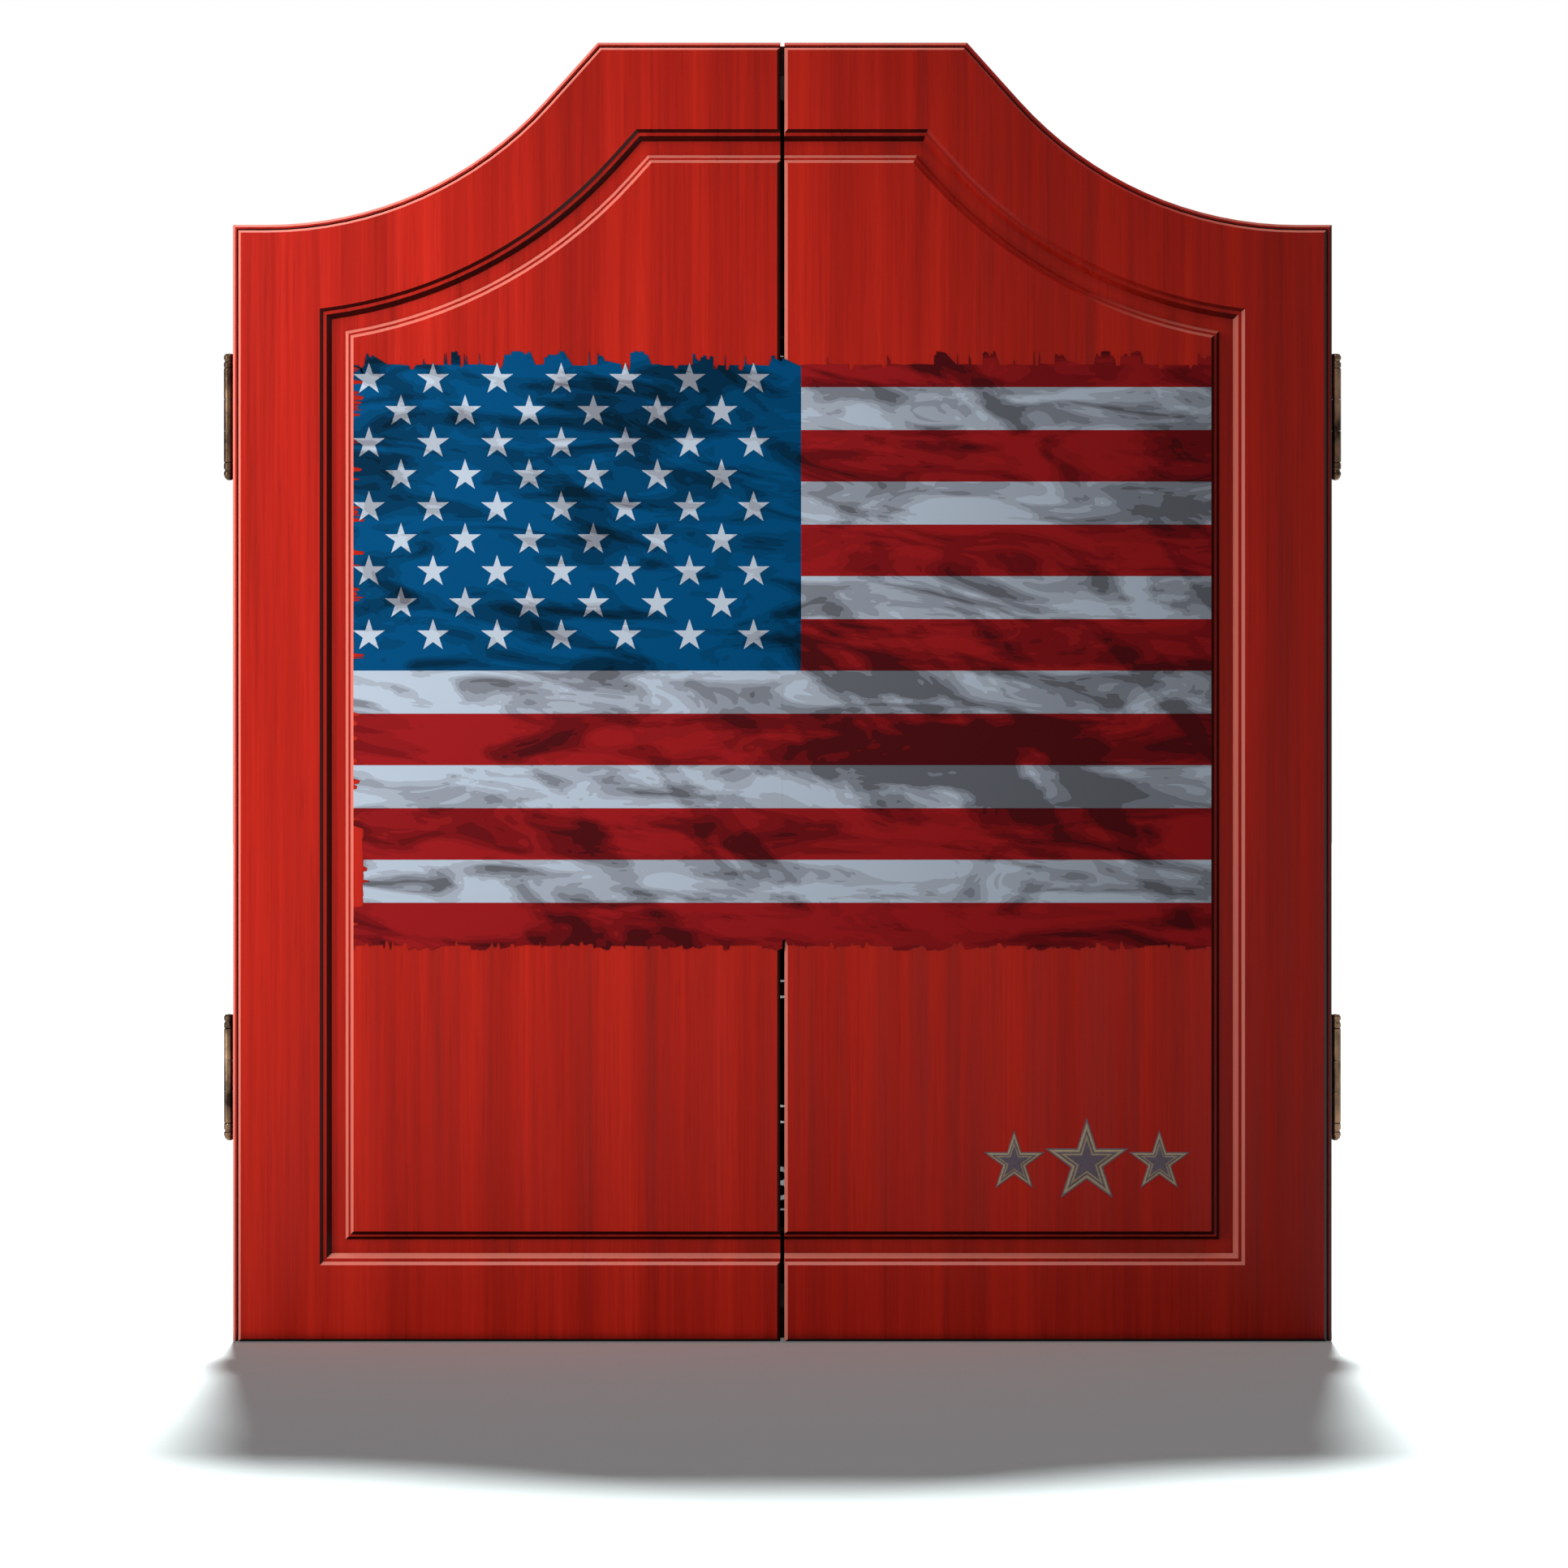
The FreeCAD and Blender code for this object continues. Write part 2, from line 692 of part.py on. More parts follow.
def cabinet_box(hinge_tools):
    """The box: back, sides, bottom, curved crown rails and top, with rails, catches and bracket."""
    pegs, dowel_holes = dowels()
    screws, screw_holes = back_screws()
    housings, catch_holes = catches()
    holes = both_sides("box_holes", dowel_holes + screw_holes + catch_holes)
    keep("frame_dowels", both_sides("frame_dowels", pegs))
    keep("back_panel_screws", both_sides("back_panel_screws", screws))
    for level, housing in housings.items():
        keep(f"{level}_catch_housing", cut(f"{level}_catch_housing", housing, holes))
    wall_holes = hanging_rails(holes)
    bracket_holes = bracket()

    outline = crown_outline("back_outline", "0", "0", "0")
    back = extrude("back_blank", outline, "back_thickness")
    keep("back_panel", cut("back_panel", back, holes, wall_holes, bracket_holes))
    span = ("lower_rail_top", "upper_rail_low")
    inside = ("0 - inner_half", "inner_half")
    felt = box("felt_blank", inside, ("back_face", "backing_face"), span)
    keep("backing_felt", cut("backing_felt", felt, bracket_holes))

    y = ("back_face", "box_front")
    depth = "back_face - box_front"
    outer = extrude("shell_outer", crown_outline("shell_outline", "0", "0", "back_face"), depth)
    hollow = crown_outline("hollow_outline", "wall_thickness", "wall_thickness", "back_face")
    shell = cut("shell", outer, extrude("shell_inner", hollow, depth))
    side = box("side_blank", ("inner_half", "cab_half"), y, ("0", "side_top"))
    mortises = fuse("box_hinge_tools", hinge_tools)
    keep_pair("side_panel", cut("side_panel_right", side, holes, mortises))
    half = box("rail_region", ("0", "cab_half"), y, ("side_top", "top_inner"))
    keep_pair("crown_rail", cut("crown_rail_right", shared("rail_blank", shell, half), holes))
    region = box("top_region", ("0 - cab_half", "cab_half"), y, ("top_inner", "crown_height"))
    keep("top_panel", cut("top_panel", shared("top_blank", shell, region), holes))
    floor = box("bottom_blank", inside, y, ("0", "wall_thickness"))
    keep("bottom_panel", cut("bottom_panel", floor, holes))


def door_blank():
    """The routed front that both doors are sawn from: a bevelled ledge around its sides and top with a
    narrow quirk behind it, a stepped moulding that sinks to a band, and a field that rises again to the
    level of the frame."""

    def section(name, inset, lift, depth):
        rise = f"({inset}) - ({lift})"
        return crown_outline(name, inset, rise, f"door_front + {depth}")

    ledge = "ledge_depth + edge_bevel"
    slab_depth = f"door_thickness - ({ledge})"
    slab = extrude("slab", crown_outline("slab_outline", "0", "0", "door_back"), slab_depth)
    rim = loft(
        "slab_rim",
        section("rim_foot", "0", "0", ledge),
        section("rim_top", "edge_bevel", "edge_bevel", "ledge_depth"),
    )
    face = section("face_outline", "ledge_width", "ledge_width", "ledge_depth")
    layer = extrude("face_layer", face, "ledge_depth - edge_bevel")
    quirk_floor = "ledge_depth + quirk_depth"
    wide = section("quirk_outline", "ledge_width - quirk_width", "ledge_width - quirk_width", quirk_floor)
    narrow = section("quirk_core_outline", "ledge_width", "ledge_width", quirk_floor)
    groove = extrude("quirk_wide", wide, "quirk_depth")
    quirk = cut("quirk", groove, extrude("quirk_core", narrow, "quirk_depth"))
    bevel = loft(
        "face_bevel",
        section("bevel_foot", "ledge_width", "ledge_width", "edge_bevel"),
        section("bevel_top", "bevel_inset", "ledge_width", "0"),
    )
    upper = loft(
        "recess_upper",
        section("recess_mouth", "moulding_inset", "foot_offset", "0"),
        section("recess_step", "step_inset", "foot_offset", "step_depth"),
    )
    lower = loft(
        "recess_lower",
        section("recess_drop", "drop_inset", "foot_offset", "step_depth"),
        section("recess_floor", "sunk_inset", "foot_offset", "sunk_depth"),
    )
    bead = loft(
        "field_bead",
        section("bead_foot", "bead_inset", "foot_offset", "sunk_depth"),
        section("bead_top", "bead_top_inset", "foot_offset", "bead_depth"),
    )
    field = loft(
        "field_rise",
        section("field_foot", "field_foot_inset", "foot_offset", "bead_depth"),
        section("field_top", "field_inset", "foot_offset", "0"),
    )
    solid = fuse("door_solid", [slab, rim, layer, bevel])
    routed = cut("door_routed", solid, upper, lower, quirk)
    return fuse("door_blank", [routed, bead, field])


def scoreboard():
    """A framed writing panel on the back of the door. Returns the places of its screws."""
    x, span = ("score_side", "score_outer"), ("score_low", "score_top")
    y = ("door_back + score_frame_depth", "door_back")

    def inner(pair, by):
        return f"{pair[0]} + {by}", f"{pair[1]} - ({by})"

    outer = box("score_frame_outer", x, y, span)
    opening = box("score_opening", inner(x, "score_bar"), y, inner(span, "score_bar"))
    rebate_y = ("door_back + score_panel_depth", "door_back")
    rebate = "score_bar - score_lip"
    rebate_box = box("score_rebate", inner(x, rebate), rebate_y, inner(span, rebate))
    snug = rebate + " + score_fit"
    panel = box("score_panel", inner(x, snug), rebate_y, inner(span, snug))
    keep_pair("scoreboard", panel)
    middle = "score_bar / 2 - score_fit"
    places = [
        ((corner_x, y[0], corner_z), "front", "long_screw")
        for corner_x in inner(x, middle)
        for corner_z in inner(span, middle)
    ]
    return cut("score_frame", outer, opening, rebate_box), places


def dart_rack():
    """A shelf with a hole for each dart and a plate that screws to the door."""
    x = ("rack_side", "rack_end")
    shelf = box("rack_shelf", x, ("door_back + rack_depth", "door_back"), ("rack_low", "rack_top"))
    plate_y = ("door_back + rack_plate_depth", "door_back")
    plate = box("rack_plate", x, plate_y, ("rack_low", "rack_low + rack_plate_height"))
    holes = [
        rod(f"rack_hole_{i}", "rack_hole_radius", "rack_shelf", (dart_x(i), "dart_y", "rack_low"), "up")
        for i in range(3)
    ]
    height = "(rack_top + rack_low + rack_plate_height) / 2"
    places = [
        ((f"rack_side + {i} * dart_pitch", plate_y[0], height), "front", "hinge_screw") for i in (1, 2)
    ]
    return cut("rack", fuse("rack_blank", [shelf, plate]), group("rack_holes", holes)), places


def dart_x(index):
    return f"rack_side + {index + 0.5} * dart_pitch"


def dart(name, index):
    """A dart that hangs point down in the rack: point, barrel, shaft and two crossed flight vanes."""
    flight_low = "dart_barrel_length + dart_shaft_length"
    top = f"({flight_low} + flight_length)"
    profile = [
        ("0", "0 - dart_point_length"),
        ("dart_point_radius", "0 - dart_point_length + 8"),
        ("dart_point_radius", "0"),
        ("dart_barrel_radius - 0.4", "0"),
        ("dart_barrel_radius", "4"),
        ("dart_barrel_radius", "dart_barrel_length - 8"),
        ("dart_shaft_radius", "dart_barrel_length"),
        ("dart_shaft_radius", top),
        ("0", top),
    ]
    spot = (dart_x(index), "dart_y", "dart_seat")
    body = turned(name + "_body", profile, spot)
    vanes = []
    for turn_angle in (45, 135):
        corners = [
            ("0 - dart_shaft_radius / 2", flight_low),
            ("dart_shaft_radius / 2", flight_low),
            ("flight_half", f"{flight_low} + flight_half"),
            ("flight_half", f"{top} - flight_half / 3"),
            ("flight_half * 2 / 3", top),
            ("0 - flight_half * 2 / 3", top),
            ("0 - flight_half", f"{top} - flight_half / 3"),
            ("0 - flight_half", f"{flight_low} + flight_half"),
        ]
        sketch = closed_sketch(f"{name}_vane_{turn_angle}", corners)
        upright = FreeCAD.Rotation(FreeCAD.Vector(0, 0, 1), turn_angle).multiply(UPRIGHT)
        sketch.Placement.Rotation = upright
        place(sketch, *spot)
        vane = extrude(f"{name}_flight_{turn_angle}", sketch, "flight_thickness")
        vane.Symmetric = True
        vanes.append(vane)
    return fuse(name, [body, *vanes])


def doors(hinge_tools, hinge_screws):
    """Both doors with their scoreboards, racks, darts, strikes, bumpers and screws."""
    blank = door_blank()
    x, y = ("centre_gap / 2", "cab_half"), ("door_back", "door_front")
    half = shared("door_half", blank, box("door_region", x, y, ("0", "crown_height")))
    edge = [
        ("centre_gap / 2", "door_front"),
        ("centre_gap / 2 + centre_chamfer", "door_front"),
        ("centre_gap / 2", "door_front + centre_chamfer"),
    ]
    profile = place(closed_sketch("chamfer_profile", edge), "0", "0", "0")
    chamfer = extrude("centre_bevel", profile, "crown_height")

    frame, score_places = scoreboard()
    rack, rack_places = dart_rack()
    strike_x = ("magnet_side - 1", "magnet_side + magnet_width + 1")
    strike_y = ("door_back + strike_thickness", "door_back")
    strikes, strike_places = [], []
    for low in ("top_inner - catch_height", "wall_thickness"):
        strikes.append(box("strike", strike_x, strike_y, (low, f"{low} + catch_height")))
        spot = ("magnet_side + magnet_width / 2", strike_y[0], f"{low} + catch_height / 2")
        strike_places.append((spot, "front", "hinge_screw"))
    screws, holes = screws_and_holes("door_screw", score_places + rack_places + strike_places)
    drilled = group("door_holes", holes)
    keep_pair("scoreboard_frame", cut("scoreboard_frame_right", frame, drilled))
    keep_pair("dart_rack", cut("dart_rack_right", rack, drilled))
    keep_pair("strike_plates", cut("strike_plates_right", group("strikes", strikes), drilled))
    keep_pair("door_screws", group("door_screws_right", screws + hinge_screws))
    mortises = fuse("door_hinge_tools", hinge_tools)
    keep_pair("door_panel", cut("door_panel_right", half, chamfer, mortises, drilled))

    bumpers = [
        rod("bumper", "bumper_radius", "bumper_thickness", ("leaf_screw_x", "door_back", height), "back")
        for height in ("bumper_height", "side_top - bumper_height")
    ]
    keep_pair("bumpers", group("bumpers_right", bumpers))
    for index, spot in enumerate(("inner", "middle", "outer")):
        keep_pair(f"dart_{spot}", dart(f"dart_{spot}_right", index))


def prints():
    """Thin prints on the fronts: a panel across both raised fields and three stars below it."""
    x = ("centre_gap / 2 + centre_chamfer", "field_half")
    y = ("door_front", "door_front - print_thickness")
    keep_pair("flag_print", box("flag_print_right", x, y, ("print_low", "print_high")))
    stars = [
        star("star_small_low", "star_middle - star_pitch", "small_star_radius"),
        star("star_large", "star_middle", "star_radius"),
        star("star_small_high", "star_middle + star_pitch", "small_star_radius"),
    ]
    keep("star_badge", group("star_badge", stars))


def star(name, x, radius):
    """A five-pointed star plate with one point up; its inner corners lie on the lines between points."""
    inner = math.sin(math.radians(18)) / math.sin(math.radians(54))
    corners = []
    for step in range(10):
        angle = math.radians(90 + 36 * step)
        reach = inner if step % 2 else 1
        across, along = reach * math.cos(angle), reach * math.sin(angle)
        corners.append((f"{x} + ({radius}) * {across:.5f}", f"star_height + ({radius}) * {along:.5f}"))
    return extrude(name, facing(closed_sketch(name + "_outline", corners), "door_front"), "star_thickness")


def ring(name, radius, width, y, depth):
    """A flat ring about the board's axis that lies outside the radius."""
    spot = ("0", y, "bull_height")
    outer = rod(name + "_outer", f"{radius} + {width}", depth, spot, "front")
    return cut(name, outer, rod(name + "_inner", radius, depth, spot, "front"))


def spider():
    """Wire frame on the face: rings around the scoring bands and a wire between each two numbers."""
    radii = {
        "double_outer": "double_radius",
        "double_inner": "double_radius - score_band",
        "treble_outer": "treble_radius",
        "treble_inner": "treble_radius - score_band",
        "outer_bull": "outer_bull_radius",
        "inner_bull": "inner_bull_radius",
    }
    wires = [ring(n, r, "wire_size", "board_face", "wire_size") for n, r in radii.items()]
    for index in range(len(DIAL)):
        angle = math.radians(360 / len(DIAL) * (index + 0.5))
        across, along = math.sin(angle), math.cos(angle)
        wire = doc.addObject("Part::Box", "wire")
        bind(wire, Length="double_radius - outer_bull_radius", Width="wire_size", Height="wire_size")
        wire.Placement.Rotation = FreeCAD.Rotation(FreeCAD.Vector(0, 1, 0), math.degrees(angle) - 90)
        start = "(outer_bull_radius + wire_size / 2)"
        x = f"{start} * {across:.6f} + wire_size / 2 * {along:.6f}"
        height = f"bull_height + {start} * {along:.6f} - wire_size / 2 * {across:.6f}"
        wires.append(place(wire, x, "wire_face", height))
    return fuse("wire_spider", wires)


def digit_strokes(digit, width, height, stroke):
    """Low and high corners of each stroke of a digit that stands on its foot at the origin."""
    middle = height / 2
    spans = {
        "a": (0, height - stroke, width, height),
        "b": (width - stroke, middle - stroke / 2, width, height),
        "c": (width - stroke, 0, width, middle + stroke / 2),
        "d": (0, 0, width, stroke),
        "e": (0, 0, stroke, middle + stroke / 2),
        "f": (0, middle - stroke / 2, stroke, height),
        "g": (0, middle - stroke / 2, width, middle + stroke / 2),
    }
    return [spans[key] for key in STROKES[digit]]


def number_ring():
    """A hoop that carries the twenty numbers, upright all round, on bars that reach the hoop."""
    width, height, stroke, gap = (value("digit_" + n) for n in ("width", "height", "stroke", "gap"))
    hoop, rim = value("hoop_radius"), value("number_hoop_width")
    front, depth = value("board_face - number_depth"), value("number_depth")
    axis, start = FreeCAD.Vector(0, 1, 0), FreeCAD.Vector(0, front, 0)
    solids = [Part.makeCylinder(hoop, depth, start, axis)]
    solids[0] = solids[0].cut(Part.makeCylinder(hoop - rim, depth, start, axis))
    centre = hoop - rim - height / 2 - stroke
    bars = []
    for index, number in enumerate(DIAL):
        angle = 360 / len(DIAL) * index
        digits = str(number)
        total = len(digits) * (width + gap) - gap
        upright = 1 if math.cos(math.radians(angle)) > -0.01 else -1
        for place_in, digit in enumerate(digits):
            left = place_in * (width + gap) - total / 2
            for low_x, low_z, high_x, high_z in digit_strokes(digit, width, height, stroke):
                size = (high_x - low_x, depth, high_z - low_z)
                corner = FreeCAD.Vector(left + low_x, front, low_z - height / 2)
                block = Part.makeBox(*size, corner)
                if upright < 0:
                    block.rotate(FreeCAD.Vector(0, 0, 0), axis, 180)
                block.translate(FreeCAD.Vector(0, 0, centre))
                block.rotate(FreeCAD.Vector(0, 0, 0), axis, angle)
                bars.append(block)
        for side in (-1, 1) if len(digits) > 1 else (1,):
            reach = (width + gap) / 2 * side if len(digits) > 1 else width / 2 - stroke / 2
            span = (stroke, depth, stroke + rim / 2 + 0.5)
            corner = FreeCAD.Vector(reach - stroke / 2, front, centre + height / 2 - 0.5)
            tie = Part.makeBox(*span, corner)
            tie.rotate(FreeCAD.Vector(0, 0, 0), axis, angle)
            bars.append(tie)
    item = doc.addObject("Part::Feature", "number_ring")
    item.Shape = solids[0].multiFuse(bars)
    return item


def dartboard():
    """The board: backer, sisal face, steel band, wires, number ring and the screw it hangs by."""
    centre = ("0", "board_back", "bull_height")
    hanger_hole = rod("hanger_hole", "hanger_radius + screw_fit", "hanger_reach + screw_fit", centre, "front")
    backer = rod("backer_blank", "core_radius", "backer_thickness", centre, "front")
    keep("board_backer", cut("board_backer", backer, hanger_hole))
    spot = ("0", "board_back - backer_thickness", "bull_height")
    depth = "board_thickness - backer_thickness"
    keep("sisal_face", rod("sisal_face", "core_radius", depth, spot, "front"))
    radius = "board_radius - band_thickness"
    keep("steel_band", ring("steel_band", radius, "band_thickness", "board_back", "board_thickness"))
    keep("wire_spider", spider())
    keep("number_ring", number_ring())
    back = "bracket_back + hanger_head_depth + hanger_gap"
    spot = ("0", back, "bull_height")
    head = rod("hanger_head", "hanger_head_radius", "hanger_head_depth", spot, "front")
    shank = rod("hanger_shank", "hanger_radius", f"{back} - board_back + hanger_reach", spot, "front")
    keep("hanger_screw", fuse("hanger_screw", [head, shank]))


def fault(item):
    """Why an object can't be used, or None."""
    if any(word in ("Invalid", "Error") for word in item.State):
        return "failed: " + ", ".join(item.State)
    shape = getattr(item, "Shape", None)
    if shape is None or not (item.Name in {n.Name for n in nodes.values()}):
        return None
    if shape.isNull() or not shape.Solids:
        return "holds no solid"
    return None if shape.isValid() else "isn't a valid shape"


def write_steps():
    """Checks every object of the document, then writes each piece to a file of its own."""
    doc.recompute()
    faults = [f"{item.Label}: {why}" for item in doc.Objects if (why := fault(item))]
    if faults:
        raise RuntimeError("; ".join(faults))
    os.makedirs("parts", exist_ok=True)
    for name, item in nodes.items():
        item.Shape.exportStep(f"parts/{name}.step")


fill_sheet()
tools, door_hinge_screws = hinges()
cabinet_box(tools["box"])
doors(tools["door"], door_hinge_screws)
prints()
dartboard()
write_steps()
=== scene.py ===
import math
import random

import bpy
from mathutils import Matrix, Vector

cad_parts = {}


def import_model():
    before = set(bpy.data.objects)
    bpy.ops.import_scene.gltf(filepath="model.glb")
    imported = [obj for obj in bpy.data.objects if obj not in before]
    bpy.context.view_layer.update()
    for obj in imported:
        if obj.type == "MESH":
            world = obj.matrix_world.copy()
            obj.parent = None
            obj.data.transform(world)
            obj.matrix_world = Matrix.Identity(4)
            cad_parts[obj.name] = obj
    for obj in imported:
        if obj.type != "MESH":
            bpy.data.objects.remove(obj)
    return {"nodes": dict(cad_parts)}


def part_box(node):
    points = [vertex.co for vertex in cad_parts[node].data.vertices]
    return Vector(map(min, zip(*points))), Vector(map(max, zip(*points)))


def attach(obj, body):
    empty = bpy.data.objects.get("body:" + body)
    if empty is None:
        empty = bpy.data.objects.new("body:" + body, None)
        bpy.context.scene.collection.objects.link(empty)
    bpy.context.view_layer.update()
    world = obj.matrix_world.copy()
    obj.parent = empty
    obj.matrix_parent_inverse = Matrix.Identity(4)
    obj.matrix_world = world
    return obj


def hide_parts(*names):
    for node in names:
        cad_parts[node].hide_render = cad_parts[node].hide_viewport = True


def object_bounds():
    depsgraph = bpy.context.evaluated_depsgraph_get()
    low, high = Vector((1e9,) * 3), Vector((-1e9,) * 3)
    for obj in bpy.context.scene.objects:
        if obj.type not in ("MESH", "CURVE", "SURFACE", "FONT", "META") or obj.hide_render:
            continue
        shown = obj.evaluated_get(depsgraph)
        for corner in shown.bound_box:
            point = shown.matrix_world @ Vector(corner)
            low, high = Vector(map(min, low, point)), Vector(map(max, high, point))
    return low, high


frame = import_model()
cad_low, cad_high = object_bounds()
NODES = frame["nodes"]
MM = 0.001


# ---------------------------------------------------------------- materials
def linear(red, green, blue):
    """A colour written as 0-255 sRGB numbers, as the linear colour that Blender takes."""
    parts = [c / 255 for c in (red, green, blue)]
    return (*[p / 12.92 if p <= 0.04045 else ((p + 0.055) / 1.055) ** 2.4 for p in parts], 1)


class Paint:
    """A material under construction: add() makes a node and fills its inputs with values or links."""

    def __init__(self, name):
        self.material = bpy.data.materials.new(name)
        self.material.use_nodes = True
        self.tree = self.material.node_tree
        self.tree.nodes.clear()
        place = self.add("TexCoord")
        self.object, self.normal = place.outputs["Object"], place.outputs["Normal"]

    def add(self, kind, inputs=None, **settings):
        node = self.tree.nodes.new("ShaderNode" + kind)
        for key, value in settings.items():
            setattr(node, key, value)
        for key, value in (inputs or {}).items():
            if isinstance(value, bpy.types.NodeSocket):
                self.tree.links.new(value, node.inputs[key])
            else:
                node.inputs[key].default_value = value
        return node

    def math(self, operation, first, second=0.0, clamp=False):
        node = self.add("Math", {0: first, 1: second}, operation=operation, use_clamp=clamp)
        return node.outputs[0]

    def stretched(self, scale, lean=0):
        """The place on the object, leaned over by an angle in the plane of the doors, then scaled."""
        place = self.object
        if lean:
            inputs = {"Vector": place, "Rotation": (0, math.radians(lean), 0)}
            place = self.add("Mapping", inputs).outputs["Vector"]
        return self.add("Mapping", {"Vector": place, "Scale": scale}).outputs["Vector"]

    def noise(self, scale, detail=3.0, roughness=0.5, distortion=0.0, lean=0):
        """Noise with so many features to the metre along each axis."""
        inputs = {
            "Vector": self.stretched(scale, lean),
            "Scale": 1.0,
            "Detail": detail,
            "Roughness": roughness,
            "Distortion": distortion,
        }
        return self.add("TexNoise", inputs).outputs[0]

    def ramp(self, factor, stops, steps=False):
        node = self.add("ValToRGB", {"Fac": factor})
        ramp = node.color_ramp
        ramp.interpolation = "CONSTANT" if steps else "LINEAR"
        while len(ramp.elements) < len(stops):
            ramp.elements.new(1.0)
        for element, (position, colour) in zip(ramp.elements, stops):
            element.position = position
            element.color = colour
        return node.outputs["Color"]

    def span(self, value, low, high, new_low=0.0, new_high=1.0):
        inputs = {"Value": value, "From Min": low, "From Max": high, "To Min": new_low, "To Max": new_high}
        return self.add("MapRange", inputs).outputs[0]

    def mix(self, factor, first, second, blend="MIX"):
        node = self.add("Mix", data_type="RGBA", blend_type=blend)
        for index, value in ((0, factor), (6, first), (7, second)):
            if isinstance(value, bpy.types.NodeSocket):
                self.tree.links.new(value, node.inputs[index])
            else:
                node.inputs[index].default_value = value
        return node.outputs[2]

    def darken(self, colour, shade):
        """The colour multiplied by a grey, from 0 for black to 1 for no change."""
        grey = self.add("CombineColor", {0: shade, 1: shade, 2: shade}).outputs[0]
        return self.mix(1.0, colour, grey, "MULTIPLY")

    def bump(self, height, strength, distance, rounding=0.0):
        inputs = {"Height": height, "Strength": strength, "Distance": distance}
        if rounding:
            inputs["Normal"] = self.add("Bevel", {"Radius": rounding}, samples=4).outputs[0]
        return self.add("Bump", inputs).outputs[0]

    def finish(self, **sockets):
        """Joins a Principled surface with these inputs to the output; underscores stand for spaces."""
        inputs = {key.replace("_", " "): value for key, value in sockets.items()}
        surface = self.add("BsdfPrincipled", inputs).outputs[0]
        self.add("OutputMaterial", {"Surface": surface})
        return self.material


def along(grain, across, lengthwise):
    """Features to the metre, with the lengthwise number on the grain's axis."""
    return [lengthwise if axis == grain else across for axis in "XYZ"]


def wiped_glaze(paint, colour):
    """Painted highlight and painted shade on the slopes of the mouldings, set by which way each slope faces:
    slopes that face up or left are lightened towards pale pink, as if lit from the upper left, and slopes
    that face down or right are darkened nearly to black, as if in shade. Level and upright faces keep their
    colour."""
    normal = paint.add("SeparateXYZ", {0: paint.normal})
    slope = paint.span(paint.math("ABSOLUTE", normal.outputs[1]), 0.3, 0.45)
    slope = paint.math("MULTIPLY", slope, paint.span(paint.math("ABSOLUTE", normal.outputs[1]), 0.97, 0.9))
    # How far each slope faces a light at the upper left.
    across = paint.math("MULTIPLY", normal.outputs[0], -0.75)
    facing_light = paint.math("ADD", across, paint.math("MULTIPLY", normal.outputs[2], 0.65))
    painted_highlight = paint.math("MULTIPLY", slope, paint.span(facing_light, 0.2, 0.42, 0.0, 0.48))
    painted_slope_shade = paint.math("MULTIPLY", slope, paint.span(facing_light, -0.2, -0.42, 0.0, 0.9))
    # Painted highlight: slopes that face up or left are mixed towards pale pink.
    colour = paint.mix(painted_highlight, colour, linear(238, 150, 132))
    # Painted shade: slopes that face down or right are mixed towards near black.
    return paint.mix(painted_slope_shade, colour, linear(22, 4, 3))


def wood(name, grain, dark, middle, light, gloss=0.3, corner_shade=0.95, with_painted_slope_light=False):
    """Stained and lacquered wood: broad figure, fine streaks and pores along the grain, and painted shade
    that darkens the corners and grooves of the mouldings where ambient occlusion finds them."""
    paint = Paint(name)
    broad = paint.noise(along(grain, 34, 1.3), 3, 0.5, 0.4)
    streak = paint.noise(along(grain, 120, 2.2), 4, 0.6, 0.2)
    fine = paint.noise(along(grain, 640, 7), 3, 0.6)
    pores = paint.noise(along(grain, 1500, 36), 2, 0.5)
    figure = paint.math("MULTIPLY", broad, 0.42)
    figure = paint.math("ADD", figure, paint.math("MULTIPLY", streak, 0.38))
    figure = paint.math("ADD", figure, paint.math("MULTIPLY", fine, 0.20))
    colour = paint.ramp(figure, [(0.38, dark), (0.5, middle), (0.62, light)])
    pore_mask = paint.span(pores, 0.36, 0.42, 0.88, 1.0)
    colour = paint.darken(colour, pore_mask)
    # Painted shade: the colour is darkened where ambient occlusion finds corners and grooves.
    hollow = paint.add("AmbientOcclusion", {"Distance": 0.007}, samples=8).outputs["AO"]
    shade = paint.span(hollow, 0.45, 0.98, 1 - corner_shade, 1.0)
    colour = paint.darken(colour, shade)
    # Painted highlight and painted shade on the moulding slopes, by the way they face.
    if with_painted_slope_light:
        colour = wiped_glaze(paint, colour)
    relief = paint.math("ADD", paint.math("MULTIPLY", fine, 0.6), paint.math("MULTIPLY", pores, 0.4))
    return paint.finish(
        Base_Color=colour,
        Roughness=paint.span(streak, 0.3, 0.7, gloss - 0.05, gloss + 0.07),
        Specular_IOR_Level=0.1,
        Normal=paint.bump(relief, 0.12, 0.0004, 0.0004),
    )


def metal(name, colour, roughness, tarnish, spotting=90):
    """Metal with a brushed, spotted tarnish that also gathers in its grooves."""
    paint = Paint(name)
    spots = paint.noise((spotting, spotting, spotting * 0.6), 4, 0.6)
    brushed = paint.noise((2200, 2200, 60), 2, 0.5)
    hollow = paint.add("AmbientOcclusion", {"Distance": 0.0015}, samples=4).outputs["AO"]
    worn = paint.math("MULTIPLY", paint.span(spots, 0.35, 0.65), paint.span(hollow, 0.3, 0.85))
    return paint.finish(
        Base_Color=paint.mix(worn, tarnish, colour),
        Metallic=1.0,
        Roughness=paint.span(brushed, 0.3, 0.7, roughness - 0.06, roughness + 0.08),
        Normal=paint.bump(brushed, 0.08, 0.0002, 0.0003),
    )


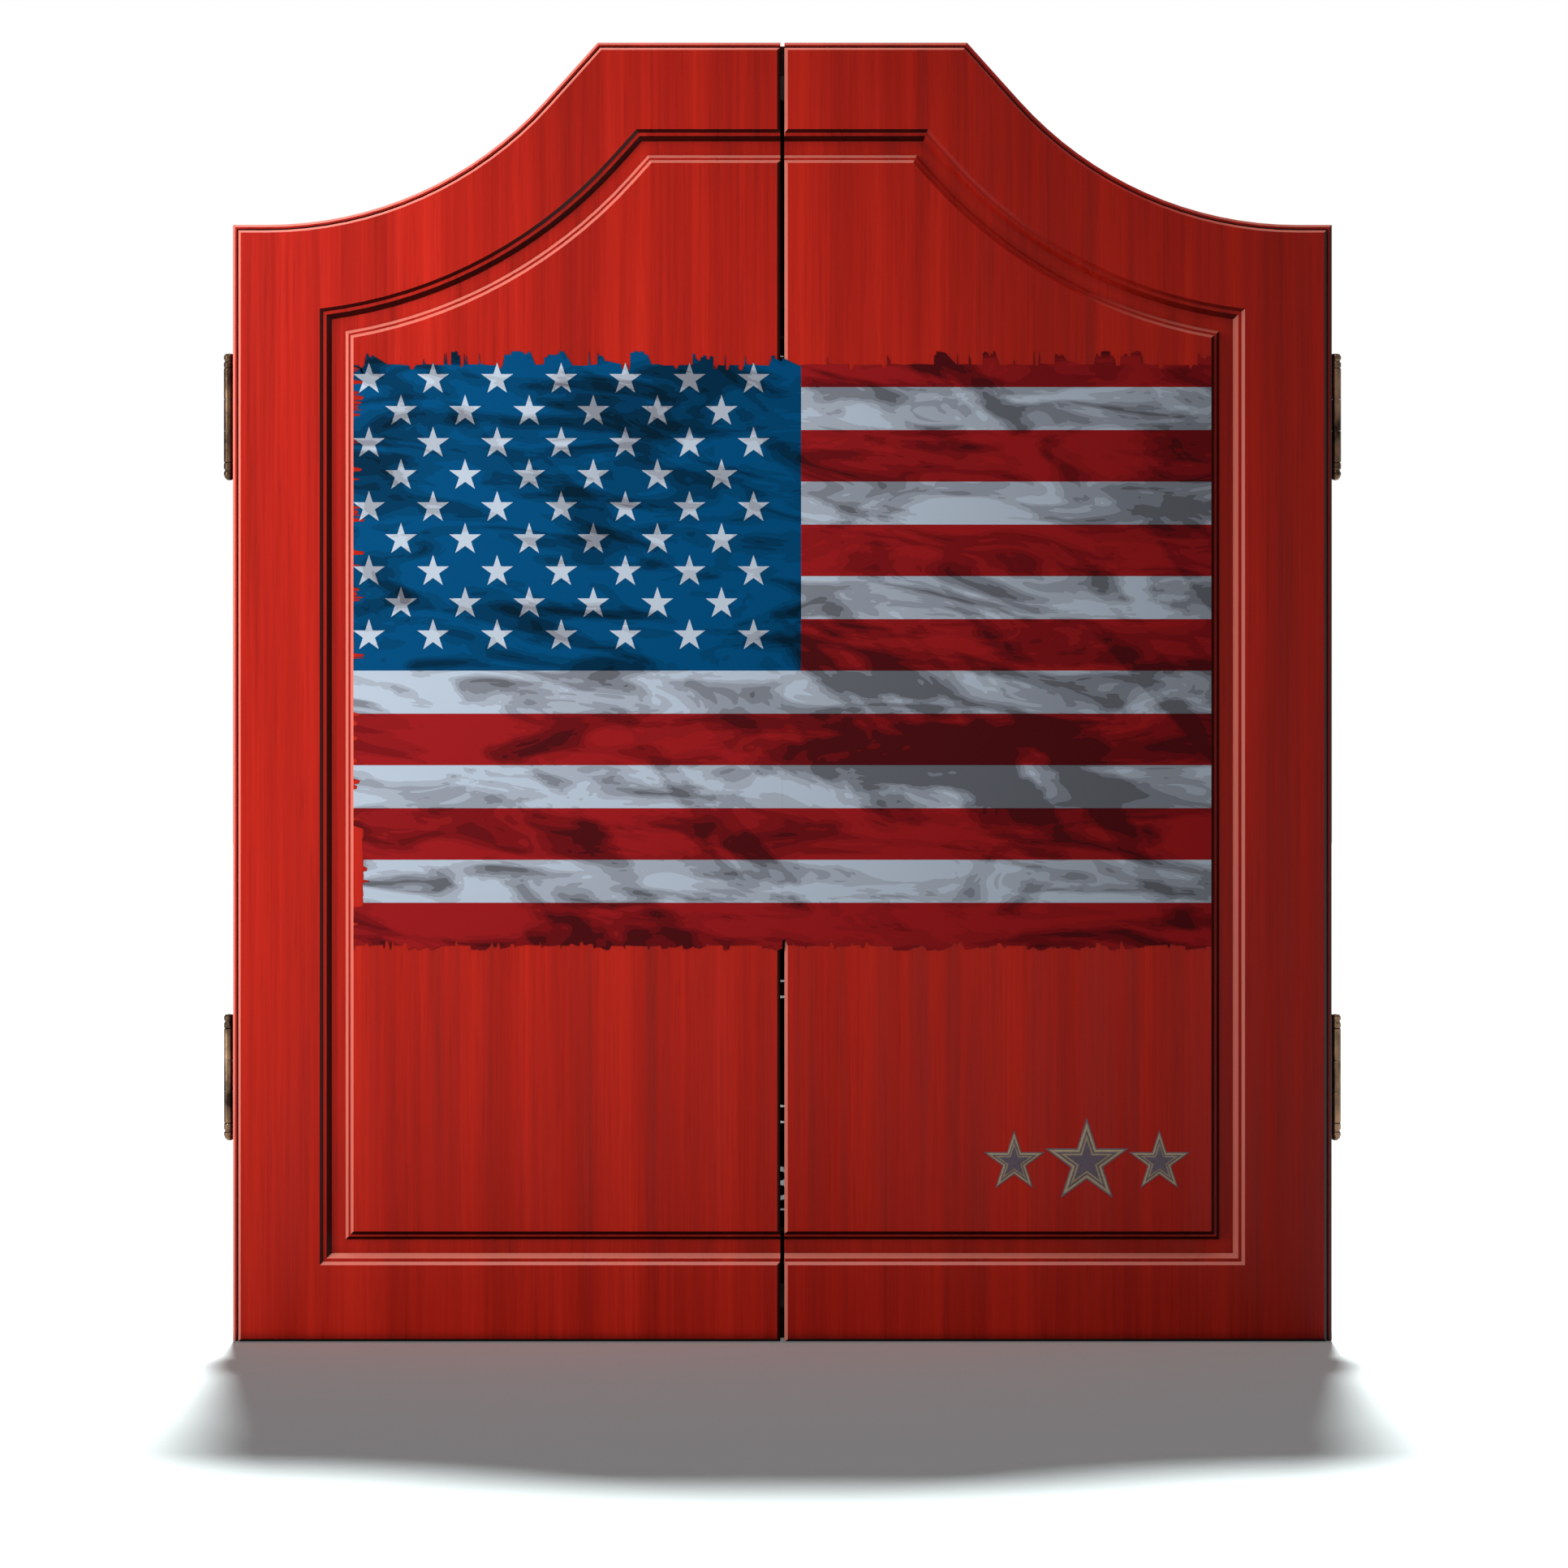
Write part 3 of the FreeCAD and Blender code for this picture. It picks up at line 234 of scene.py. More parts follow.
def plain(name, colour, second, roughness, scale=400, bump=0.15, metallic=0.0):
    """A moulded, painted or pressed surface: a fine mottle of two close colours with a matching texture."""
    paint = Paint(name)
    mottle = paint.noise((scale, scale, scale), 4, 0.6)
    return paint.finish(
        Base_Color=paint.mix(paint.span(mottle, 0.35, 0.65), colour, second),
        Roughness=paint.span(mottle, 0.3, 0.7, roughness - 0.05, roughness + 0.05),
        Metallic=metallic,
        Normal=paint.bump(mottle, bump, 0.0004, 0.0003),
    )


def felt(name, colour, second):
    paint = Paint(name)
    fibres = paint.noise((900, 900, 900), 5, 0.7, 1.5)
    nap = paint.noise((60, 60, 60), 3)
    shade = paint.math("ADD", paint.math("MULTIPLY", fibres, 0.7), paint.math("MULTIPLY", nap, 0.3))
    return paint.finish(
        Base_Color=paint.ramp(shade, [(0.4, colour), (0.62, second)]),
        Roughness=0.95,
        Sheen_Weight=0.4,
        Normal=paint.bump(fibres, 0.5, 0.0006),
    )


def sisal(name, colour, second):
    """Packed bristle ends: a fine grain of dots, darker between the fibres."""
    paint = Paint(name)
    inputs = {"Vector": paint.stretched((1, 1, 1)), "Scale": 900.0}
    cells = paint.add("TexVoronoi", inputs).outputs["Distance"]
    patches = paint.noise((40, 40, 40), 4, 0.6)
    tone = paint.math("ADD", paint.math("MULTIPLY", cells, 0.6), paint.math("MULTIPLY", patches, 0.4))
    return paint.finish(
        Base_Color=paint.ramp(tone, [(0.3, colour), (0.6, second)]),
        Roughness=0.9,
        Normal=paint.bump(cells, 0.35, 0.0003),
    )


def slate(name):
    """Chalk surface with the smears of a rubbed-out score."""
    paint = Paint(name)
    smear = paint.noise((14, 14, 5), 5, 0.65, 1.2, lean=24)
    grit = paint.noise((1500, 1500, 1500), 2)
    dust = paint.math("MULTIPLY", paint.span(smear, 0.45, 0.75), paint.span(grit, 0.3, 0.7, 0.5, 1.0))
    return paint.finish(
        Base_Color=paint.mix(paint.math("MULTIPLY", dust, 0.35), linear(34, 38, 37), linear(190, 192, 188)),
        Roughness=paint.span(dust, 0, 1, 0.62, 0.85),
        Normal=paint.bump(grit, 0.2, 0.0003),
    )


def print_shade(paint):
    """How dark the cloth-like print is at each place, the same for every colour of it: long flat blotches,
    a few slanting folds and a darker right-hand side."""
    blotches = paint.noise((15, 15, 52), 3.5, 0.52, 1.3, lean=-5)
    folds = paint.noise((30, 30, 6), 3, 0.5, 0.6, lean=42)
    clouds = paint.noise((8, 8, 11), 1.5)
    split = paint.add("SeparateXYZ", {0: paint.object})
    drift = paint.math("MULTIPLY", split.outputs[0], 0.04)
    creased = paint.math("MULTIPLY", paint.span(folds, 0.52, 0.7), paint.span(clouds, 0.38, 0.52))
    shade = paint.math("MULTIPLY", blotches, 0.62)
    shade = paint.math("ADD", shade, paint.math("MULTIPLY", creased, 0.14))
    shade = paint.math("ADD", shade, paint.math("MULTIPLY", clouds, 0.22))
    return paint.math("ADD", shade, drift)


def print_ink(name, tones):
    """Satin print in flat steps of tone, from light to dark, over the wood's own fine texture."""
    paint = Paint(name)
    shade = print_shade(paint)
    low, high = 0.385, 0.55
    step = (high - low) / (len(tones) - 1)
    stops = [(0.0, tones[0])] + [(low + step * i, tone) for i, tone in enumerate(tones[1:])]
    grain = paint.noise((640, 640, 9), 3, 0.6)
    return paint.finish(
        Base_Color=paint.ramp(shade, stops, steps=True),
        Roughness=paint.span(grain, 0.3, 0.7, 0.46, 0.58),
        Specular_IOR_Level=0.03,
        Normal=paint.bump(grain, 0.08, 0.0003),
    )


CHERRY = (linear(150, 24, 14), linear(175, 30, 18), linear(196, 38, 23))
DEEP_CHERRY = (linear(84, 15, 11), linear(108, 19, 13), linear(132, 25, 17))


def dress(material, *names):
    for name in names:
        NODES[name].data.materials.clear()
        NODES[name].data.materials.append(material)


def both(*names):
    return [f"{name}_{side}" for name in names for side in ("left", "right")]


def dress_frame():
    """Gives every CAD node its material."""
    # The doors also get painted highlight and painted shade on their moulding slopes.
    doors = wood("cherry_doors", "Z", *CHERRY, with_painted_slope_light=True)
    sides = wood("cherry_upright", "Z", *CHERRY)
    level = wood("cherry_level", "X", *CHERRY)
    trim = wood("cherry_trim", "Z", *DEEP_CHERRY)
    shelf = wood("cherry_shelf", "X", *DEEP_CHERRY)
    beech = wood("beech", "X", linear(150, 110, 70), linear(186, 146, 100), linear(208, 172, 126), 0.5, 0.4)
    dress(doors, *both("door_panel"))
    dress(sides, *both("side_panel"), "back_panel")
    dress(level, *both("crown_rail"), "top_panel", "bottom_panel")
    dress(level, "upper_hanging_rail", "lower_hanging_rail")
    dress(trim, *both("scoreboard_frame"))
    dress(shelf, *both("dart_rack"))
    dress(beech, "frame_dowels")
    brass = metal("antique_brass", linear(104, 80, 62), 0.18, linear(30, 21, 16))
    leaves = [n for n in NODES if "hinge_leaf" in n]
    dress(brass, *leaves, *both("hinge_pins"), "box_hinge_screws")
    zinc = metal("zinc", linear(196, 196, 192), 0.3, linear(120, 120, 118))
    dress(zinc, "back_panel_screws", "bracket_screws", "catch_screws", "hanger_screw", *both("door_screws"))
    sheet = metal("zinc_sheet", linear(186, 188, 190), 0.36, linear(128, 128, 130), 40)
    dress(sheet, "board_bracket", *both("strike_plates"))
    plastic = plain("catch_plastic", linear(70, 44, 32), linear(58, 36, 26), 0.45)
    dress(plastic, "upper_catch_housing", "lower_catch_housing")
    dress(plain("ferrite", linear(52, 52, 55), linear(66, 66, 68), 0.5), "catch_magnets")
    dress(plain("bumper_rubber", linear(38, 38, 38), linear(52, 52, 52), 0.8), *both("bumpers"))
    dress(felt("black_felt", linear(16, 16, 18), linear(38, 38, 42)), "backing_felt")
    dress(slate("slate"), *both("scoreboard"))
    dress(plain("fibre_board", linear(120, 92, 62), linear(98, 74, 50), 0.85, 700, 0.4), "board_backer")
    dress(sisal("sisal_black", linear(10, 10, 10), linear(34, 33, 31)), "sisal_face")
    dress(plain("black_band", linear(26, 26, 27), linear(36, 36, 37), 0.35), "steel_band")
    wire = metal("bright_wire", linear(214, 214, 212), 0.22, linear(150, 150, 150))
    dress(wire, "wire_spider", "number_ring")
    dart_metal = metal("dart_brass", linear(206, 170, 96), 0.26, linear(140, 104, 52))
    dress(dart_metal, *both("dart_inner", "dart_middle", "dart_outer"))


# ---------------------------------------------------------------- meshes
def solid(name, outlines, back, materials, body):
    """Thin flat pieces in one object. Each outline is a material's number and the (x, y, z) corners of its
    front; every piece reaches back to its front moved by the step back."""
    vertices, faces, numbers = [], [], []
    for number, corners in outlines:
        count, first = len(corners), len(vertices)
        area = sum(a[0] * b[2] - b[0] * a[2] for a, b in zip(corners, corners[1:] + corners[:1]))
        ring = corners if area > 0 else corners[::-1]
        vertices += [tuple(c) for c in ring]
        vertices += [(c[0], c[1] + back, c[2]) for c in ring]
        front = list(range(first, first + count))
        faces.append(front)
        faces.append([i + count for i in reversed(front)])
        for i in range(count):
            after = (i + 1) % count
            faces.append([first + after, first + i, first + i + count, first + after + count])
        numbers += [number] * (count + 2)
    mesh = bpy.data.meshes.new(name)
    mesh.from_pydata(vertices, [], faces)
    for material in materials:
        mesh.materials.append(material)
    mesh.polygons.foreach_set("material_index", numbers)
    mesh.validate()
    piece = bpy.data.objects.new(name, mesh)
    bpy.context.scene.collection.objects.link(piece)
    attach(piece, body)
    return piece


# ---------------------------------------------------------------- flag print
PRINT_LOW, PRINT_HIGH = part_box("flag_print_left")
FLAG_LEFT, FLAG_RIGHT = PRINT_LOW.x, -PRINT_LOW.x
FLAG_TOP, FLAG_FOOT = PRINT_HIGH.z, PRINT_LOW.z
PRINT_FRONT = PRINT_LOW.y
CUT = 0.02 * MM                              # half of the slit between the print's two halves
PRINT_DEPTH = 0.15 * MM
STAR_LIFT = 0.05 * MM
FIRST_RED, WHITE_STRIPE, RED_STRIPE = 18.1 * MM, 21.3 * MM, 25.6 * MM
CANTON_STRIPES = 3
CANTON_RIGHT = 9.3 * MM
TOP_BASE, TOP_FRINGE = 7.2 * MM, 7.0 * MM
STAR_COLUMNS, STAR_ROWS = 7, 9
STAR_PITCH, STAR_ROW_PITCH = 31.8 * MM, 15.9 * MM
STAR_START = (7.7 * MM, 14.2 * MM)
STAR_RADIUS = 8.3 * MM
WORN_HEIGHTS, WORN_DEPTH = (22 * MM, 62 * MM), 5.0 * MM     # where the left end has lost a whole strip


# Each colour of the print in five flat tones, from light to dark.
PRINT_TONES = {
    "red": [
        linear(152, 26, 29),
        linear(140, 24, 27),
        linear(122, 19, 23),
        linear(102, 16, 20),
        linear(74, 13, 17),
    ],
    "white": [
        linear(182, 195, 210),
        linear(166, 175, 188),
        linear(146, 153, 165),
        linear(124, 129, 139),
        linear(98, 101, 108),
    ],
    "blue": [
        linear(0, 72, 118),
        linear(0, 64, 104),
        linear(0, 52, 86),
        linear(0, 40, 66),
        linear(0, 28, 46),
    ],
    "star": [
        linear(184, 196, 210),
        linear(170, 179, 192),
        linear(150, 157, 168),
        linear(130, 134, 144),
        linear(104, 105, 113),
    ],
}


def torn_line(rng, start, end, fringe, bite, calm=0.45):
    """Points along a torn edge: short level runs broken by narrow tongues, jagged clumps and bites."""
    points, at = [(start, 0.0)], start
    while at < end:
        kind = rng.random()
        if kind < calm:
            at += rng.uniform(1.5, 7) * MM
            points.append((at, rng.uniform(-0.3, 0.5) * MM))
        elif kind < calm + 0.25:
            tip, width = rng.uniform(0.3, 1) * fringe, rng.uniform(0.35, 1.1) * MM
            points += [(at + 0.1 * MM, 0.0), (at + width * 0.4, tip)]
            points.append((at + width, rng.uniform(0, 0.25) * tip))
            at += width
        elif kind < calm + 0.42:
            height = rng.uniform(0.55, 1) * fringe
            for _ in range(rng.randint(3, 8)):
                width = rng.uniform(0.4, 2.0) * MM
                points += [(at + 0.05 * MM, height), (at + width, height * rng.uniform(0.85, 1.0))]
                height = min(fringe, max(0.3 * fringe, height + rng.uniform(-0.35, 0.35) * fringe))
                at += width
        else:
            depth, width = rng.uniform(0.2, 1) * bite, rng.uniform(0.6, 3.2) * MM
            points += [(at + 0.1 * MM, -depth * 0.8), (at + width * 0.6, -depth), (at + width, 0.0)]
            at += width
        at += 0.1 * MM
    return [p for p in points if p[0] <= end]


def level_at(line, at):
    """Height of a torn line at a place along it."""
    for (a, low), (b, high) in zip(line, line[1:]):
        if a <= at <= b:
            return low + (high - low) * (at - a) / max(b - a, 1e-9)
    return line[-1][1] if at > line[-1][0] else line[0][1]


def between(line, start, end):
    inside = [p for p in line if start < p[0] < end]
    return [(start, level_at(line, start)), *inside, (end, level_at(line, end))]


def placed(x, z, lift=0.0):
    """A point of the print's front. The film runs level to the centre line, over the bevels and the gap."""
    return (x, PRINT_FRONT + STAR_LIFT - lift, z)


def band(x_span, z_span, top=None, foot=None, left=None):
    """A stripe's outline; its top and foot follow torn lines along x, and its left end one along z."""
    (x_low, x_high), (z_low, z_high) = x_span, z_span
    upper = between(top, x_low, x_high) if top else [(x_low, 0), (x_high, 0)]
    lower = between(foot, x_low, x_high) if foot else [(x_low, 0), (x_high, 0)]
    corners = [(x, z_low - d) for x, d in lower] + [(x, z_high + d) for x, d in reversed(upper)]
    if left:
        end = between(left, z_low, z_high)
        foot_bite, head_bite = max(0.0, -end[0][1]), max(0.0, -end[-1][1])
        middle = (z_low + z_high) / 2
        keep = [(x, z) for x, z in corners if x > x_low + (foot_bite if z < middle else head_bite)]
        side = [(x_low + max(0.0, -d), z) for z, d in end]
        corners = keep + side[::-1]
    return [placed(x, z) for x, z in corners]


def star_outline(x, z, radius, place):
    inner = radius * math.sin(math.radians(18)) / math.sin(math.radians(54))
    corners = []
    for step in range(10):
        angle = math.radians(90 + 36 * step)
        reach = inner if step % 2 else radius
        corners.append(place(x + reach * math.cos(angle), z + reach * math.sin(angle)))
    return corners


def flag_spans():
    """The print's two halves, cut on the centre line: (door, x span)."""
    return [("left", (FLAG_LEFT, -CUT)), ("right", (CUT, FLAG_RIGHT))]


def flag_levels():
    """Heights of the stripes from the top: (colour, foot, head)."""
    levels, head = [], FLAG_TOP - FIRST_RED
    levels.append(("red", head, FLAG_TOP - TOP_BASE))
    for index in range(6):
        levels.append(("white", head - WHITE_STRIPE, head))
        head -= WHITE_STRIPE
        foot = head - RED_STRIPE if index < 5 else FLAG_FOOT + 3 * MM
        levels.append(("red", foot, head))
        head = foot
    return levels


def flag():
    """The worn flag print across both doors, cut on the centre line: stripes, canton and stars."""
    rng = random.Random(41)
    top = torn_line(rng, FLAG_LEFT, FLAG_RIGHT, TOP_FRINGE, 3 * MM)
    foot = torn_line(rng, FLAG_LEFT, FLAG_RIGHT, 2.6 * MM, 3 * MM, 0.35)
    left = torn_line(rng, FLAG_FOOT, FLAG_TOP, 0.0, 6.5 * MM, 0.3)
    worn_low, worn_high = FLAG_FOOT + WORN_HEIGHTS[0], FLAG_FOOT + WORN_HEIGHTS[1]
    left = [(z, d - (WORN_DEPTH if worn_low < z < worn_high else 0.0)) for z, d in left]
    levels = flag_levels()
    canton_foot = levels[2 * CANTON_STRIPES][1]
    parts = {(colour, side): [] for colour in ("red", "white", "blue", "star") for side in ("left", "right")}
    for side, (low, high) in flag_spans():
        end = left if low == FLAG_LEFT else None
        for index, (colour, z_low, z_high) in enumerate(levels):
            start = max(low, CANTON_RIGHT) if z_low >= canton_foot - 1e-9 else low
            if start < high:
                last = index == len(levels) - 1
                edges = {"top": None if index else top, "foot": foot if last else None}
                parts[colour, side].append((0, band((start, high), (z_low, z_high), left=end, **edges)))
        if low < CANTON_RIGHT:
            span = (low, min(high, CANTON_RIGHT))
            outline = band(span, (canton_foot, FLAG_TOP - TOP_BASE), top=top, left=end)
            parts["blue", side].append((0, outline))
    for row in range(STAR_ROWS):
        shift = (row % 2) * STAR_PITCH / 2
        for column in range(STAR_COLUMNS - row % 2):
            x = FLAG_LEFT + STAR_START[0] + shift + column * STAR_PITCH
            z = FLAG_TOP - STAR_START[1] - row * STAR_ROW_PITCH
            outline = star_outline(x, z, STAR_RADIUS, lambda a, b: placed(a, b, STAR_LIFT))
            parts["star", "left"].append((0, outline))
    inks = {colour: print_ink(f"print_{colour}", tones) for colour, tones in PRINT_TONES.items()}
    for (colour, side), outlines in parts.items():
        if outlines:
            name, door = f"flag_{colour}_{side}", f"{side}_door"
            piece = solid(name, outlines, PRINT_DEPTH, [inks[colour]], door)
            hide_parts(f"flag_print_{side}")


# ---------------------------------------------------------------- star badge
def badge():
    """Three outlined stars, the middle one larger, printed low on the right door."""
    low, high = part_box("star_badge")
    middle_x, door_front = (low.x + high.x) / 2, high.y
    big = (high.z - low.z) / (1 + math.cos(math.radians(36)))
    centre_z = high.z - big
    small = big * 16 / 22
    pitch = (high.x - low.x - 2 * small * math.sin(math.radians(72))) / 2
    cream = plain("badge_cream", linear(176, 158, 122), linear(158, 140, 106), 0.5, 900)
    plum = plain("badge_plum", linear(98, 82, 98), linear(84, 70, 86), 0.5, 900)
    outlines = []
    for x, radius in ((middle_x - pitch, small), (middle_x, big), (middle_x + pitch, small)):
        for layer, (number, share) in enumerate(((1, 1.0), (0, 0.9), (1, 0.74), (0, 0.62), (1, 0.5))):
            front = door_front - (layer + 1) * 0.07 * MM

            def place(a, b, front=front):
                return (a, front, b)

            outlines.append((number, star_outline(x, centre_z, radius * share, place)))
    piece = solid("badge_stars", outlines, 0.06 * MM, [cream, plum], "right_door")
    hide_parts("star_badge")


# ---------------------------------------------------------------- dartboard
DIAL = (20, 1, 18, 4, 13, 6, 10, 15, 2, 17, 3, 19, 7, 16, 8, 11, 14, 9, 12, 5)
RINGS = {"double": 170 * MM, "treble": 107 * MM, "outer_bull": 15.9 * MM, "inner_bull": 6.35 * MM}
SCORE_BAND = 8 * MM


def sector(inner, outer, start, end, front, steps=4):
    angles = [math.radians(start + (end - start) * i / steps) for i in range(steps + 1)]
    arc = [(outer * math.sin(a), front, outer * math.cos(a)) for a in angles]
    return arc + [(inner * math.sin(a), front, inner * math.cos(a)) for a in reversed(angles)]


def board_face():
    """The dyed segments of the board: black and cream singles, red and green doubles, trebles and bulls."""
    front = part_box("sisal_face")[0].y - 0.2 * MM
    black, cream, red, green = range(4)
    treble, double = RINGS["treble"], RINGS["double"]
    outlines = []
    for index in range(len(DIAL)):
        start = 360 / len(DIAL) * (index - 0.5)
        end = start + 360 / len(DIAL)
        single, score = (black, red) if index % 2 == 0 else (cream, green)
        outlines.append((single, sector(RINGS["outer_bull"], treble - SCORE_BAND, start, end, front)))
        outlines.append((score, sector(treble - SCORE_BAND, treble, start, end, front)))
        outlines.append((single, sector(treble, double - SCORE_BAND, start, end, front)))
        outlines.append((score, sector(double - SCORE_BAND, double, start, end, front)))
        outlines.append((green, sector(RINGS["inner_bull"], RINGS["outer_bull"], start, end, front)))
        outlines.append((red, sector(0.2 * MM, RINGS["inner_bull"], start, end, front)))
    dyes = [
        sisal("sisal_dark", linear(12, 12, 12), linear(40, 39, 36)),
        sisal("sisal_cream", linear(168, 148, 108), linear(214, 196, 156)),
        sisal("sisal_red", linear(120, 12, 12), linear(184, 26, 24)),
        sisal("sisal_green", linear(6, 62, 30), linear(16, 108, 56)),
    ]
    solid("board_segments", outlines, 0.19 * MM, dyes, "dartboard")


def number_wires():
    """The number ring: a wire hoop and twenty bent-wire numbers, upright all round."""
    low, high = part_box("number_ring")
    hoop = (high.x - low.x) / 2
    depth = (high.y - low.y) / 2
    wire = NODES["number_ring"].data.materials[0]
    joined = []
    bpy.ops.mesh.primitive_torus_add(
        major_radius=hoop - depth, minor_radius=depth, major_segments=160, minor_segments=10,
        location=(0, (low.y + high.y) / 2, 0), rotation=(math.pi / 2, 0, 0),
    )
    joined.append(bpy.context.object)
    for index, number in enumerate(DIAL):
        angle = 2 * math.pi / len(DIAL) * index
        curve = bpy.data.curves.new(f"number_{number}", "FONT")
        curve.body = str(number)
        curve.size = 24 * MM
        curve.align_x = "CENTER"
        curve.align_y = "CENTER"
        curve.extrude = depth * 0.5
        curve.bevel_depth = depth * 0.3
        label = bpy.data.objects.new(f"number_{number}", curve)
        radius = hoop - 13 * MM
        label.location = (radius * math.sin(angle), (low.y + high.y) / 2, radius * math.cos(angle))
        upright = angle if math.cos(angle) > -0.01 else angle + math.pi
        label.rotation_euler = (math.pi / 2, upright, 0)
        bpy.context.scene.collection.objects.link(label)
        bpy.context.view_layer.update()
        mesh = bpy.data.meshes.new_from_object(label.evaluated_get(bpy.context.evaluated_depsgraph_get()))
        piece = bpy.data.objects.new(f"wire_number_{number}", mesh)
        piece.matrix_world = label.matrix_world
        bpy.context.scene.collection.objects.link(piece)
        bpy.data.objects.remove(label)
        joined.append(piece)
    bpy.ops.object.select_all(action="DESELECT")
    for piece in joined:
        piece.select_set(True)
    bpy.context.view_layer.objects.active = joined[0]
    bpy.ops.object.join()
    ring = bpy.context.object
    ring.name = "number_ring_wires"
    bpy.ops.object.transform_apply(location=True, rotation=True, scale=True)
    ring.data.materials.clear()
    ring.data.materials.append(wire)
    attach(ring, "dartboard")
    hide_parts("number_ring")


# ---------------------------------------------------------------- darts
POINT_LENGTH, BARREL_LENGTH, SHAFT_LENGTH = 48 * MM, 50 * MM, 8 * MM
BARREL_RADIUS = 3.5 * MM
VANE_HALF_THICKNESS = 0.22 * MM
# Corners of a flight vane in millimetres: out from the shaft, and up from its lower end.
VANE = [(1.4, 0), (4, 4), (10.6, 9), (12, 13), (12, 28), (9, 34.5), (1.4, 31)]


def turned(profile, steps=24):
    """Vertices and faces of a profile of (radius, height) turned about the upright axis."""
    vertices = [
        (r * math.cos(2 * math.pi * s / steps), r * math.sin(2 * math.pi * s / steps), z)
        for r, z in profile
        for s in range(steps)
    ]
    faces = []
    for row in range(len(profile) - 1):
        for s in range(steps):
            after = (s + 1) % steps
            a, b = row * steps, (row + 1) * steps
            faces.append([a + s, a + after, b + after, b + s])
    faces.append([s for s in reversed(range(steps))])
    faces.append([(len(profile) - 1) * steps + s for s in range(steps)])
    return vertices, faces


def barrel_profile(foot, length, radius):
    """A dart's knurled barrel: rings of fine grooves between smooth lands."""
    profile = [(radius * 0.55, foot), (radius * 0.86, foot + 0.8 * MM), (radius, foot + 4 * MM)]
    at = foot + 8 * MM
    while at < foot + length - 12 * MM:
        profile += [(radius, at), (radius * 0.84, at + 0.4 * MM)]
        profile += [(radius * 0.84, at + 0.9 * MM), (radius, at + 1.3 * MM)]
        at += 2 * MM
    profile += [(radius, foot + length - 8 * MM), (radius * 0.65, foot + length)]
    return profile


def dart(name, node, body, materials):
    """A steel-tip dart: point, grooved barrel, plastic shaft and four shaped flight vanes."""
    low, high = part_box(node)
    axis = Vector(((low.x + high.x) / 2, (low.y + high.y) / 2, 0))
    tip, head = low.z, high.z
    seat = tip + POINT_LENGTH
    barrel_top = seat + BARREL_LENGTH
    flight_low = barrel_top + SHAFT_LENGTH
    shaft = [
        (2.2 * MM, barrel_top),
        (1.9 * MM, barrel_top + 3 * MM),
        (2.2 * MM, flight_low),
        (1.6 * MM, head - 3 * MM),
    ]
    parts = [
        (0, turned([(0.05 * MM, tip), (1.0 * MM, tip + 7 * MM), (1.1 * MM, seat)])),
        (1, turned(barrel_profile(seat, BARREL_LENGTH, BARREL_RADIUS))),
        (2, turned(shaft)),
    ]
    vertices, faces, numbers = [], [], []
    for number, (points, cells) in parts:
        faces += [[i + len(vertices) for i in cell] for cell in cells]
        numbers += [number] * len(cells)
        vertices += points
    for quarter in range(4):
        angle = math.radians(45 + 90 * quarter)
        first, count = len(vertices), len(VANE)
        outwards = Vector((math.cos(angle), math.sin(angle), 0))
        side = Vector((-math.sin(angle), math.cos(angle), 0)) * VANE_HALF_THICKNESS
        for sign in (1, -1):
            for reach, height in VANE:
                point = outwards * reach * MM + side * sign
                vertices.append((point.x, point.y, flight_low + height * MM))
        faces.append([first + i for i in reversed(range(count))])
        faces.append([first + count + i for i in range(count)])
        for i in range(count):
            after = (i + 1) % count
            faces.append([first + i, first + after, first + count + after, first + count + i])
        numbers += [3] * (count + 2)
    mesh = bpy.data.meshes.new(name)
    mesh.from_pydata([(x + axis.x, y + axis.y, z) for x, y, z in vertices], [], faces)
    for material in materials:
        mesh.materials.append(material)
    mesh.polygons.foreach_set("material_index", numbers)
    mesh.validate()
    piece = bpy.data.objects.new(name, mesh)
    bpy.context.scene.collection.objects.link(piece)
    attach(piece, body)
    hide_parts(node)
    return piece


def darts():
    steel = metal("dart_steel", linear(176, 178, 180), 0.2, linear(110, 110, 112))
    brass = NODES["dart_inner_left"].data.materials[0]
    shaft = plain("dart_shaft", linear(30, 30, 32), linear(40, 40, 42), 0.35)
    flights = {
        "left": plain("flight_red", linear(176, 24, 26), linear(160, 20, 22), 0.4, 300),
        "right": plain("flight_blue", linear(14, 72, 136), linear(10, 62, 120), 0.4, 300),
    }
    for side, flight in flights.items():
        for spot in ("inner", "middle", "outer"):
            materials = [steel, brass, shaft, flight]
            name = f"steel_tip_dart_{spot}_{side}"
            dart(name, f"dart_{spot}_{side}", f"{side}_dart_{spot}", materials)


# ---------------------------------------------------------------- stage, lights and camera
FLOOR_Z = cad_low.z - 0.5 * MM
FRONT_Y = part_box("door_panel_left")[0].y
VIEW_WIDTH = 0.7779                # width of the view at the door fronts
VIEW_CENTRE = (0.0008, -0.0004)
CAMERA_DISTANCE = 2.4
SENSOR = 36.0


def camera():
    data = bpy.data.cameras.new("camera")
    data.sensor_width = SENSOR
    data.lens = SENSOR * CAMERA_DISTANCE / VIEW_WIDTH
    item = bpy.data.objects.new("camera", data)
    item.location = (VIEW_CENTRE[0], FRONT_Y - CAMERA_DISTANCE, VIEW_CENTRE[1])
    item.rotation_euler = (math.pi / 2, 0, 0)
    bpy.context.scene.collection.objects.link(item)
    bpy.context.scene.camera = item


def seen(paint):
    """1 where a ray comes from the camera or off a glossy or clear surface, otherwise 0."""
    path = paint.add("LightPath")
    total = paint.math("ADD", path.outputs["Is Camera Ray"], path.outputs["Is Glossy Ray"])
    return paint.math("ADD", total, path.outputs["Is Transmission Ray"], clamp=True)


